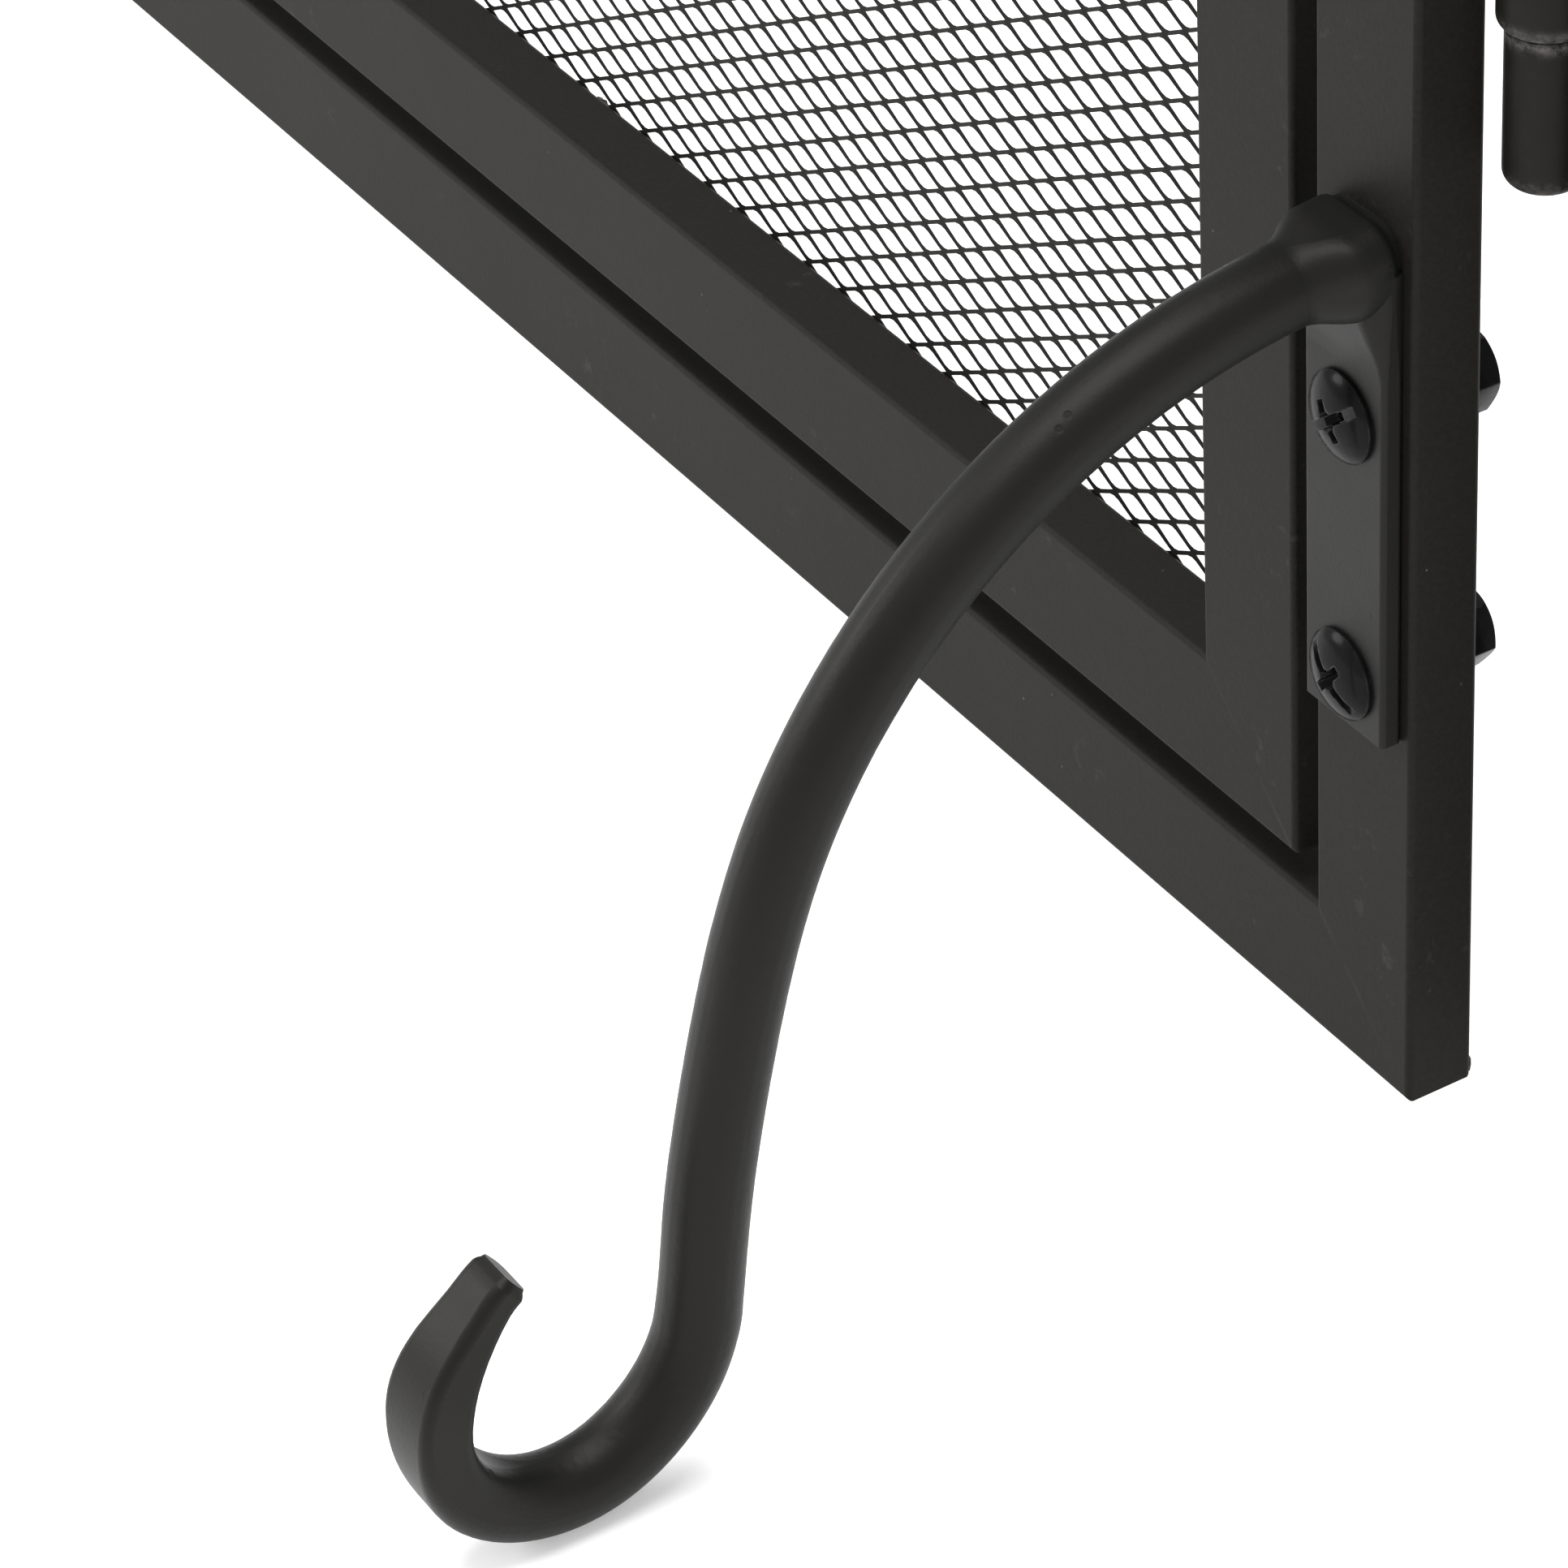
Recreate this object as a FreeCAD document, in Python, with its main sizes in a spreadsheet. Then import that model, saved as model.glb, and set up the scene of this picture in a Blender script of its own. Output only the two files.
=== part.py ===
"""Three-panel fireplace screen: a centre frame with two inset mesh doors, two side wings on
lift-off hinges, and two forged scroll feet bolted to the front of the centre frame.

Frame of the model: millimetres, +Z up, the room is at -Y and the fire at +Y.
The origin is on the floor, in the middle of the screen's footprint as it stands. Places are
worked out from the front face of the frames and shifted there by front_y.
"""
import FreeCAD, Part
import Sketcher
import math
import os

from FreeCAD import Placement, Rotation, Vector

doc = FreeCAD.newDocument("FireplaceScreen")

# ---------------------------------------------------------------- driving sizes (millimetres)
SIZES = [
    # centre frame, all frames are of the same rectangular tube
    ("screen_width", 980.0, "centre frame, end face to end face"),
    ("frame_height", 780.0, "every frame, bottom edge to top edge"),
    ("floor_clearance", 15.5, "floor to the bottom edge of the frames"),
    ("tube_face", 20.0, "face width of the frame tube"),
    ("tube_depth", 10.0, "depth of the frame tube, front to back"),
    ("tube_wall", 1.5, "wall of the frame tube"),
    ("tube_corner", 0.9, "outside corner radius of the frame tube"),
    # doors
    ("door_gap", 4.5, "gap round and between the doors"),
    ("mesh_thickness", 0.8, "expanded steel mesh, over the strands"),
    ("mesh_overlap", 5.0, "lap of the mesh on the back of a frame tube"),
    # wings
    ("wing_width", 280.0, "side wing, end face to end face"),
    ("wing_rest_angle", 60.0, "degrees that a wing stands back from the centre frame's line"),
    # lift-off hinges of the wings
    ("wing_axis_out", 6.5, "hinge axis beyond the end face of the centre frame"),
    ("wing_axis_back", 3.5, "hinge axis behind the back face of the frames"),
    ("wing_barrel", 12.0, "upper half of the barrel, diameter"),
    ("wing_barrel_low", 10.0, "lower half of the barrel, diameter"),
    ("wing_pin", 7.0, "hinge pin, diameter"),
    ("wing_half", 25.0, "length of the upper half of the hinge"),
    ("wing_half_low", 20.5, "length of the lower half of the hinge"),
    ("wing_pin_reach", 17.0, "length of the pin inside the upper half"),
    ("wing_tab", 3.0, "thickness of the weld tab"),
    ("wing_tab_reach", 13.0, "weld tab on the back of the stile"),
    ("wing_tab_height", 14.0, "height of the weld tab"),
    ("wing_tab_offset", 8.0, "weld tab of the upper half, from the joint"),
    ("wing_tab_offset_low", 4.5, "weld tab of the lower half, from the joint"),
    ("wing_hinge_inset", 155.0, "joint of the halves from the frame's bottom and top edges"),
    # lift-off hinges of the doors
    ("door_axis_out", 4.8, "hinge axis in front of the frame's face"),
    ("door_barrel", 9.0, "hinge barrel, diameter"),
    ("door_pin", 5.0, "hinge pin, diameter"),
    ("door_half", 20.0, "length of one half of the hinge"),
    ("door_pin_reach", 13.0, "length of the pin inside the upper half"),
    ("door_tab", 2.0, "thickness of the weld tab"),
    ("door_tab_reach", 14.0, "weld tab on the face of the stile"),
    ("door_hinge_inset", 200.0, "joint of the halves from the frame's bottom and top edges"),
    ("pin_play", 0.05, "radial running clearance of a hinge pin"),
    ("half_gap", 0.2, "gap between the two halves of a hinge"),
    # scroll feet, forged from round bar with a flattened and drilled upper end
    ("bar_size", 10.5, "round bar of the foot"),
    ("plate_width", 16.0, "flattened end, across"),
    ("plate_thickness", 3.0, "flattened end, through"),
    ("plate_foot", 55.5, "lower end of the plate above the frame's bottom edge"),
    ("plate_length", 67.0, "plate, from its lower end up to the middle of the neck"),
    ("neck_height", 11.8, "neck where it leaves the stile, up and down"),
    ("neck_corner", 4.6, "rounding of the neck"),
    ("neck_flare", 6.5, "length over which the bar widens into the neck"),
    ("neck_reach", 12.5, "straight neck, from the face of the stile"),
    ("web_height", 15.0, "swelling of the plate under the neck, up and down"),
    ("web_thickness", 5.0, "swelling of the plate under the neck, at its thickest"),
    ("sweep_radius", 88.9, "forward sweep of the bar"),
    ("entry_radius", 22.7, "wider bend from the shank into the curl"),
    ("curl_radius", 17.5, "curl that stands on the floor"),
    ("toe_radius", 42.2, "last bend, up to the toe"),
    ("toe_width", 7.9, "toe, across"),
    ("toe_thickness", 4.7, "toe, through"),
    ("toe_dressing", 1.3, "length of the rounded tip of the toe"),
    ("foot_screw_low", 62.5, "lower foot screw above the frame's bottom edge"),
    ("foot_screw_pitch", 37.5, "between the two foot screws"),
    ("foot_thread", 6.0, "foot screws"),
    ("foot_head", 12.2, "head of the foot screws, diameter"),
    ("foot_head_height", 2.6, "head of the foot screws, height"),
    ("foot_nut", 10.0, "nuts of the foot screws, across flats"),
    ("foot_nut_height", 6.5, "nuts of the foot screws, height"),
    # door handles, forged the same way
    ("handle_bar", 8.0, "round bar of the handle"),
    ("pad_width", 13.0, "flattened ends of the handle, across"),
    ("pad_thickness", 2.6, "flattened ends of the handle, through"),
    ("pad_length", 20.0, "straight length of each flattened end"),
    ("pad_bend", 7.0, "bend from the flattened end into the bow"),
    ("bow_radius", 42.0, "bow of the handle"),
    ("handle_height", 430.0, "middle of the handle above the frame's bottom edge"),
    ("handle_screw_inset", 9.0, "handle screw from the end of its pad"),
    ("handle_thread", 5.0, "handle screws"),
    ("handle_head", 10.2, "head of the handle screws, diameter"),
    ("handle_head_height", 2.2, "head of the handle screws, height"),
    ("handle_nut", 8.0, "nuts of the handle screws, across flats"),
    ("handle_nut_height", 4.0, "nuts of the handle screws, height"),
    ("screw_play", 0.2, "radial clearance of a screw in its holes"),
    ("screw_proud", 0.4, "screw end beyond its nut"),
    # magnetic catch behind the top rail
    ("catch_width", 64.0, "catch plate, across"),
    ("catch_sheet", 1.5, "catch plate, thickness"),
    ("catch_lap", 14.0, "catch plate on the back of the top rail"),
    ("catch_drop", 13.0, "catch plate behind the doors' top rails"),
    ("magnet_size", 8.0, "catch magnets, diameter"),
    ("magnet_height", 2.0, "catch magnets, height"),
    ("magnet_gap", 0.3, "magnet face to the door"),
    ("magnet_pitch", 30.0, "between the two magnets"),
    ("catch_thread", 4.0, "catch screws"),
    ("catch_head", 7.6, "head of the catch screws, diameter"),
    ("catch_head_height", 2.0, "head of the catch screws, height"),
    ("catch_screw_length", 9.0, "catch screws, under the head"),
    ("catch_screw_pitch", 46.0, "between the two catch screws"),
    # pegs under the wings
    ("peg_size", 10.0, "peg, diameter"),
    ("glide_size", 15.0, "glide cap, diameter"),
    ("glide_height", 9.0, "glide cap, height"),
    ("glide_floor", 3.0, "sole of the glide cap"),
    ("glide_play", 0.05, "radial play of the peg in its cap"),
]

FRONT_UP = Rotation(Vector(1, 0, 0), 90)     # local +Z points to the room, local +Y points up
BACK_UP = Rotation(Vector(1, 0, 0), -90)     # local +Z points to the fire, local +Y points down
NO_TURN = Rotation()


class Size:
    """A number together with the expression that makes it from the sheet's cells."""

    def __init__(self, value, text=None):
        self.value = float(value)
        self.text = text if text is not None else repr(float(value))

    def _pair(self, other, sign, value):
        return Size(value, f"({self.text} {sign} {other.text})")

    def __add__(self, other):
        other = as_size(other)
        return self._pair(other, "+", self.value + other.value)

    def __sub__(self, other):
        other = as_size(other)
        return self._pair(other, "-", self.value - other.value)

    def __mul__(self, other):
        other = as_size(other)
        return self._pair(other, "*", self.value * other.value)

    def __truediv__(self, other):
        other = as_size(other)
        return self._pair(other, "/", self.value / other.value)

    def __neg__(self):
        return Size(-self.value, f"(-1 * {self.text})")

    def __radd__(self, other):
        return as_size(other) + self

    def __rsub__(self, other):
        return as_size(other) - self

    def __rmul__(self, other):
        return as_size(other) * self

    def cos(self):
        return Size(math.cos(math.radians(self.value)), f"cos({self.text} * 1 deg)")

    def sin(self):
        return Size(math.sin(math.radians(self.value)), f"sin({self.text} * 1 deg)")


def as_size(number):
    return number if isinstance(number, Size) else Size(number)


class Sheet:
    """The spreadsheet: each cell's alias reads back as a Size."""

    def __init__(self):
        self.sheet = doc.addObject("Spreadsheet::Sheet", "Sizes")
        self.values = {}
        for row, (alias, value, note) in enumerate(SIZES, start=1):
            self.sheet.set(f"A{row}", note)
            self.sheet.set(f"B{row}", str(value))
            self.sheet.setAlias(f"B{row}", alias)
            self.values[alias] = value
        doc.recompute()

    def __getattr__(self, alias):
        return Size(self.values[alias], f"Sizes.{alias}")


dim = Sheet()
sub_parts = []


# ---------------------------------------------------------------- small drawing helpers
def new_body(label):
    """A PartDesign body that is written out under its label."""
    body = doc.addObject("PartDesign::Body", label)
    body.Label = label
    body.AllowCompound = True
    sub_parts.append(body)
    return body


def attach(body, role, name, height=None):
    """A sketch on one of the body's own origin planes, lifted along its normal if asked."""
    sketch = body.newObject("Sketcher::SketchObject", name)
    plane = [item for item in body.Origin.OriginFeatures if item.Role == role][0]
    sketch.AttachmentSupport = (plane, "")
    sketch.MapMode = "FlatFace"
    if height is not None:
        height = as_size(height)
        sketch.AttachmentOffset = Placement(Vector(0, 0, height.value), NO_TURN)
        sketch.setExpression("AttachmentOffset.Base.z", height.text)
    return sketch


def bind(sketch, kind, geometry, point, size, name):
    """One dimension from the sketch's origin to a point, tied to the sheet."""
    size = as_size(size)
    index = sketch.addConstraint(
        Sketcher.Constraint(kind, -1, 1, geometry, point, size.value)
    )
    sketch.renameConstraint(index, name)
    sketch.setExpression(f"Constraints.{name}", size.text)


def outline(sketch, points):
    """A closed outline of straight lines through points, each a pair of Sizes."""
    points = [(as_size(x), as_size(y)) for x, y in points]
    first = sketch.GeometryCount
    count = len(points)
    for i, (x, y) in enumerate(points):
        end_x, end_y = points[(i + 1) % count]
        start = Vector(x.value, y.value, 0)
        end = Vector(end_x.value, end_y.value, 0)
        sketch.addGeometry(Part.LineSegment(start, end))
    for i in range(count):
        following = first + (i + 1) % count
        sketch.addConstraint(Sketcher.Constraint("Coincident", first + i, 2, following, 1))
    for i, (x, y) in enumerate(points):
        bind(sketch, "DistanceX", first + i, 1, x, f"x{first + i}")
        bind(sketch, "DistanceY", first + i, 1, y, f"y{first + i}")
    return sketch


def rectangle(sketch, left, low, right, high):
    return outline(sketch, [(left, low), (right, low), (right, high), (left, high)])


def circle(sketch, x, y, radius):
    """A circle at x, y, tied to the sheet."""
    x, y, radius = as_size(x), as_size(y), as_size(radius)
    axis = Vector(0, 0, 1)
    index = sketch.addGeometry(Part.Circle(Vector(x.value, y.value, 0), axis, radius.value))
    bind(sketch, "DistanceX", index, 3, x, f"cx{index}")
    bind(sketch, "DistanceY", index, 3, y, f"cy{index}")
    number = sketch.addConstraint(Sketcher.Constraint("Radius", index, radius.value))
    sketch.renameConstraint(number, f"cr{index}")
    sketch.setExpression(f"Constraints.cr{index}", radius.text)
    return sketch


def pad(body, sketch, length, reverse=False, both_ways=False):
    """Pad a sketch by a length tied to the sheet."""
    feature = body.newObject("PartDesign::Pad", "Pad")
    feature.Profile = sketch
    feature.Length = as_size(length).value
    feature.setExpression("Length", as_size(length).text)
    feature.Reversed = reverse
    if both_ways:
        feature.SideType = "Symmetric"
    doc.recompute()
    return feature


def pocket(body, sketch, depth, reverse=False, both_ways=False):
    """Cut a sketch out of the body, and stop if nothing was cut."""
    before = body.Shape.Volume
    feature = body.newObject("PartDesign::Pocket", "Pocket")
    feature.Profile = sketch
    feature.Length = as_size(depth).value
    feature.setExpression("Length", as_size(depth).text)
    feature.Reversed = reverse
    if both_ways:
        feature.SideType = "Symmetric"
    doc.recompute()
    if body.Shape.Volume > before - 1e-3:
        raise RuntimeError(f"{body.Label}: a pocket cuts nothing")
    return feature


def revolve(body, sketch):
    """Turn a sketch on the XZ plane once round the body's Z axis."""
    feature = body.newObject("PartDesign::Revolution", "Turned")
    feature.Profile = sketch
    feature.ReferenceAxis = (sketch, ["V_Axis"])
    feature.Angle = 360
    doc.recompute()
    return feature


def round_edges(body, radius, wanted):
    """Fillet the edges that wanted(edge) picks."""
    tip = body.Tip
    names = [f"Edge{i}" for i, edge in enumerate(tip.Shape.Edges, start=1) if wanted(edge)]
    if not names:
        raise RuntimeError(f"{body.Label}: no edge to round")
    feature = body.newObject("PartDesign::Fillet", "Rounding")
    feature.Base = (tip, names)
    feature.Radius = as_size(radius).value
    feature.setExpression("Radius", as_size(radius).text)
    doc.recompute()
    return feature


def repeat(body, originals, length):
    """A second copy of the given features, a length along the body's Y axis."""
    feature = body.newObject("PartDesign::LinearPattern", "Second")
    feature.Originals = originals
    axis = [item for item in body.Origin.OriginFeatures if item.Role == "Y_Axis"][0]
    feature.Direction = (axis, [""])
    feature.Length = as_size(length).value
    feature.setExpression("Length", as_size(length).text)
    feature.Occurrences = 2
    body.Tip = feature
    doc.recompute()
    return feature


def place(item, x, y, z, turn=NO_TURN):
    """Put a sub-part in the model, with y from the frames' front face. The position is tied
    to the sheet."""
    spot = [as_size(x), as_size(y) + front_y, as_size(z)]
    item.Placement = Placement(Vector(*[size.value for size in spot]), turn)
    for axis, size in zip("xyz", spot):
        item.setExpression(f"Placement.Base.{axis}", size.text)
    return item


def circular_at(radius, height):
    """Picks the full circles of a radius at a height on the Z axis."""

    def wanted(edge):
        curve = edge.Curve
        if curve.TypeId != "Part::GeomCircle":
            return False
        same_radius = abs(curve.Radius - radius) < 1e-3
        return same_radius and abs(curve.Center.z - height) < 1e-3

    return wanted


# ---------------------------------------------------------------- places shared by the pieces
base = dim.floor_clearance
half_width = dim.screen_width / 2
bore_face = dim.tube_face - dim.tube_wall
bore_depth = dim.tube_depth - dim.tube_wall
door_width = (dim.screen_width - 2 * dim.tube_face - 3 * dim.door_gap) / 2
door_height = dim.frame_height - 2 * dim.tube_face - 2 * dim.door_gap
door_base = base + dim.tube_face + dim.door_gap
door_outer = half_width - dim.tube_face - dim.door_gap      # hinge side of a door, from the middle
door_middle = door_outer - door_width / 2
door_inner = dim.door_gap / 2                               # meeting side of a door
door_axis_x = half_width - dim.tube_face - dim.door_gap / 2
wing_axis_x = half_width + dim.wing_axis_out
wing_axis_y = dim.tube_depth + dim.wing_axis_back
wing_start = 2 * dim.wing_axis_out                          # wing's end face, wing in line
stile_middle = half_width - dim.tube_face / 2
SIDES = (("left", -1), ("right", 1))


def wing_place(item, side, out, back, z, turn=NO_TURN):
    """Put a wing's piece at its rest angle. out and back are where it lies with the wing in line,
    from the centre frame's end face and from the frames' front face."""
    angle = dim.wing_rest_angle * side
    dx = (out - dim.wing_axis_out) * side
    dy = as_size(back) - wing_axis_y
    x = wing_axis_x * side + dx * angle.cos() - dy * angle.sin()
    y = wing_axis_y + dx * angle.sin() + dy * angle.cos()
    swing = Rotation(Vector(0, 0, 1), angle.value)
    return place(item, x, y, z, swing * turn)


# ---------------------------------------------------------------- frame tubes and mesh
def mitred_tube(label, length, holes=()):
    """Rectangular tube with 45 degree mitres. Local X runs along it, its outer edge is at Z = 0
    and its front face at Y = 0. holes are (place along X, place along Z, radius)."""
    body = new_body(label)
    half = as_size(length) / 2
    face = outline(
        attach(body, "XZ_Plane", "Mitre"),
        [
            (-half, 0),
            (half, 0),
            (half - dim.tube_face, dim.tube_face),
            (dim.tube_face - half, dim.tube_face),
        ],
    )
    pad(body, face, dim.tube_depth, reverse=True)

    def runs_along(edge):
        step = edge.Vertexes[-1].Point - edge.Vertexes[0].Point
        return abs(step.y) < 1e-6 and abs(step.z) < 1e-6

    round_edges(body, dim.tube_corner, runs_along)
    section = rectangle(
        attach(body, "YZ_Plane", "Bore"), dim.tube_wall, dim.tube_wall, bore_depth, bore_face
    )
    pocket(body, section, 2 * length, both_ways=True)
    if holes:
        drilling = attach(body, "XZ_Plane", "Holes")
        for x, z, radius in holes:
            circle(drilling, x, z, radius)
        pocket(body, drilling, 4 * dim.tube_depth, both_ways=True)
    return body


RAIL_BOTTOM = NO_TURN
RAIL_TOP = Rotation(Vector(0, 1, 0), 180)
STILE_LEFT = Rotation(Vector(0, 1, 0), 90)       # outer edge to -X
STILE_RIGHT = Rotation(Vector(0, 1, 0), -90)     # outer edge to +X


def centre_frame():
    """Four tubes of the centre frame. The stiles are drilled for the feet."""
    bolt_radius = dim.foot_thread / 2 + dim.screw_play
    middle = base + dim.frame_height / 2
    low = dim.foot_screw_low - dim.frame_height / 2
    high = low + dim.foot_screw_pitch
    place(mitred_tube("centre_bottom_rail", dim.screen_width), 0, 0, base, RAIL_BOTTOM)
    screw_x = dim.catch_screw_pitch / 2
    tap = dim.catch_thread / 2 + dim.screw_play
    catch_z = dim.catch_lap / 2
    top = mitred_tube(
        "centre_top_rail",
        dim.screen_width,
        [(-screw_x, dim.tube_face - catch_z, tap), (screw_x, dim.tube_face - catch_z, tap)],
    )
    place(top, 0, 0, base + dim.frame_height, RAIL_TOP)
    for name, side in SIDES:
        # local +X is down on the left stile and up on the right one
        holes = [(low * side, dim.tube_face / 2, bolt_radius),
                 (high * side, dim.tube_face / 2, bolt_radius)]
        stile = mitred_tube(f"centre_{name}_stile", dim.frame_height, holes)
        turn = STILE_LEFT if side < 0 else STILE_RIGHT
        place(stile, half_width * side, 0, middle, turn)


def mesh_sheet(label, width, height):
    """Flat mesh sheet, local X across and Z up from its lower edge, front at Y = 0."""
    body = new_body(label)
    sheet = rectangle(attach(body, "XZ_Plane", "Sheet"), -(width / 2), 0, width / 2, height)
    pad(body, sheet, dim.mesh_thickness, reverse=True)
    return body


def doors():
    """Two mesh doors. Each is four tubes with the mesh welded behind them."""
    middle = door_base + door_height / 2
    bolt_radius = dim.handle_thread / 2 + dim.screw_play
    handle_z = base + dim.handle_height - middle
    sheet_width = door_width - 2 * dim.tube_face + 2 * dim.mesh_overlap
    sheet_height = door_height - 2 * dim.tube_face + 2 * dim.mesh_overlap
    sheet_z = door_base + dim.tube_face - dim.mesh_overlap
    for name, side in SIDES:
        x = door_middle * side
        place(mitred_tube(f"{name}_door_bottom_rail", door_width), x, 0, door_base, RAIL_BOTTOM)
        top = mitred_tube(f"{name}_door_top_rail", door_width)
        place(top, x, 0, door_base + door_height, RAIL_TOP)
        hinge_stile = mitred_tube(f"{name}_door_hinge_stile", door_height)
        turn = STILE_LEFT if side < 0 else STILE_RIGHT
        place(hinge_stile, door_outer * side, 0, middle, turn)
        # the meeting stile's outer edge faces the middle, so local +X is up on the left door
        holes = []
        for step in (-handle_rise, handle_rise):
            holes.append(((handle_z + step) * -side, dim.tube_face / 2, bolt_radius))
        meeting = mitred_tube(f"{name}_door_meeting_stile", door_height, holes)
        turn = STILE_RIGHT if side < 0 else STILE_LEFT
        place(meeting, door_inner * side, 0, middle, turn)
        place(mesh_sheet(f"{name}_door_mesh", sheet_width, sheet_height), x, dim.tube_depth, sheet_z)


def wings():
    """Two side wings of the same build, with a peg and a glide cap at the far end."""
    middle = base + dim.frame_height / 2
    sheet_width = dim.wing_width - 2 * dim.tube_face + 2 * dim.mesh_overlap
    sheet_height = dim.frame_height - 2 * dim.tube_face + 2 * dim.mesh_overlap
    out = wing_start + dim.wing_width / 2
    far = wing_start + dim.wing_width
    for name, side in SIDES:
        bottom = mitred_tube(f"{name}_wing_bottom_rail", dim.wing_width)
        wing_place(bottom, side, out, 0, base, RAIL_BOTTOM)
        top = mitred_tube(f"{name}_wing_top_rail", dim.wing_width)
        wing_place(top, side, out, 0, base + dim.frame_height, RAIL_TOP)
        near = mitred_tube(f"{name}_wing_hinge_stile", dim.frame_height)
        turn = STILE_RIGHT if side < 0 else STILE_LEFT
        wing_place(near, side, wing_start, 0, middle, turn)
        end = mitred_tube(f"{name}_wing_far_stile", dim.frame_height)
        turn = STILE_LEFT if side < 0 else STILE_RIGHT
        wing_place(end, side, far, 0, middle, turn)
        sheet = mesh_sheet(f"{name}_wing_mesh", sheet_width, sheet_height)
        sheet_z = base + dim.tube_face - dim.mesh_overlap
        wing_place(sheet, side, out, dim.tube_depth, sheet_z)
        peg_out = far - dim.tube_face / 2
        wing_place(peg(f"{name}_wing_peg"), side, peg_out, dim.tube_depth / 2, 0)
        wing_place(glide(f"{name}_wing_glide"), side, peg_out, dim.tube_depth / 2, 0)


def peg(label):
    """Round peg from the glide's sole up to the frame."""
    body = new_body(label)
    disc = circle(attach(body, "XY_Plane", "Disc", dim.glide_floor), 0, 0, dim.peg_size / 2)
    pad(body, disc, dim.floor_clearance - dim.glide_floor)
    return body


def glide(label):
    """Cap that slips over the peg and stands on the floor."""
    body = new_body(label)
    bore = dim.peg_size / 2 + dim.glide_play
    radius = dim.glide_size / 2
    profile = outline(
        attach(body, "XZ_Plane", "Profile"),
        [
            (0, 0),
            (radius, 0),
            (radius, dim.glide_height),
            (bore, dim.glide_height),
            (bore, dim.glide_floor),
            (0, dim.glide_floor),
        ],
    )
    revolve(body, profile)
    round_edges(body, 1.2, circular_at(radius.value, 0))
    round_edges(body, 0.8, circular_at(radius.value, dim.glide_height.value))
    return body


# ---------------------------------------------------------------- lift-off hinges
def hinge_half(label, upper, barrel, pin, half, reach, tab, side):
    """One half of a lift-off hinge about the Z axis, its joint with the other half at Z = 0.
    The lower half carries the pin, the upper half is bored for it. tab is
    (start, reach, near, far, low, high): the weld tab in X (times side), Y and Z."""
    body = new_body(label)
    radius = barrel / 2
    pin_radius = pin / 2
    bore = pin_radius + dim.pin_play
    if upper:
        low = dim.half_gap
        points = [(bore, low), (radius, low), (radius, half), (0, half)]
        points += [(0, reach + 1), (bore, reach + 1)]
    else:
        points = [(0, -half), (radius, -half), (radius, 0), (pin_radius, 0)]
        points += [(pin_radius, reach), (0, reach)]
    revolve(body, outline(attach(body, "XZ_Plane", "Profile"), points))
    end = half.value if upper else -half.value
    joint = dim.half_gap.value if upper else 0.0
    round_edges(body, barrel / 5, circular_at(radius.value, end))
    round_edges(body, barrel / 8 if upper else barrel / 24, circular_at(radius.value, joint))
    start, stretch, near, far, bottom, top = tab
    height = bottom if upper else -top
    leaf = attach(body, "XY_Plane", "Tab", height)
    rectangle(leaf, start * side, near, stretch * side, far)
    pad(body, leaf, top - bottom)
    return body


def wing_hinges():
    """Upper halves welded behind the centre frame's stiles, lower halves behind the wings'."""
    reach = dim.wing_axis_out + dim.wing_tab_reach
    near = -dim.wing_axis_back

    def half_sizes(barrel, half, start, offset):
        tab = (start, reach, near, near + dim.wing_tab, offset, offset + dim.wing_tab_height)
        return barrel, dim.wing_pin, half, dim.wing_pin_reach, tab

    upper_sizes = half_sizes(
        dim.wing_barrel, dim.wing_half, dim.wing_pin / 2 + 1, dim.wing_tab_offset
    )
    lower_sizes = half_sizes(
        dim.wing_barrel_low, dim.wing_half_low, dim.wing_barrel_low / 4, dim.wing_tab_offset_low
    )
    for level, height in (
        ("lower", base + dim.wing_hinge_inset),
        ("upper", base + dim.frame_height - dim.wing_hinge_inset),
    ):
        for name, side in SIDES:
            socket = hinge_half(f"{name}_wing_{level}_hinge_socket", True, *upper_sizes, -side)
            place(socket, wing_axis_x * side, wing_axis_y, height)
            pintle = hinge_half(f"{name}_wing_{level}_hinge_pin", False, *lower_sizes, side)
            wing_place(pintle, side, dim.wing_axis_out, wing_axis_y, height)


def door_hinges():
    """Lower halves welded to the centre frame's stiles, upper halves to the doors'."""
    start = dim.door_gap / 2
    reach = start + dim.door_tab_reach
    far = dim.door_axis_out
    tab = (start, reach, far - dim.door_tab, far, dim.door_half / 8, dim.door_half * 7 / 8)
    sizes = (dim.door_barrel, dim.door_pin, dim.door_half, dim.door_pin_reach, tab)
    for level, height in (
        ("lower", base + dim.door_hinge_inset),
        ("upper", base + dim.frame_height - dim.door_hinge_inset),
    ):
        for name, side in SIDES:
            pintle = hinge_half(f"{name}_door_{level}_hinge_pin", False, *sizes, side)
            place(pintle, door_axis_x * side, -dim.door_axis_out, height)
            socket = hinge_half(f"{name}_door_{level}_hinge_socket", True, *sizes, -side)
            place(socket, door_axis_x * side, -dim.door_axis_out, height)


# ---------------------------------------------------------------- forged bars
def heading_vector(degrees):
    """Forward and upward parts of a heading: 0 is level to the room, 90 is straight up."""
    return math.cos(math.radians(degrees)), math.sin(math.radians(degrees))


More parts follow.
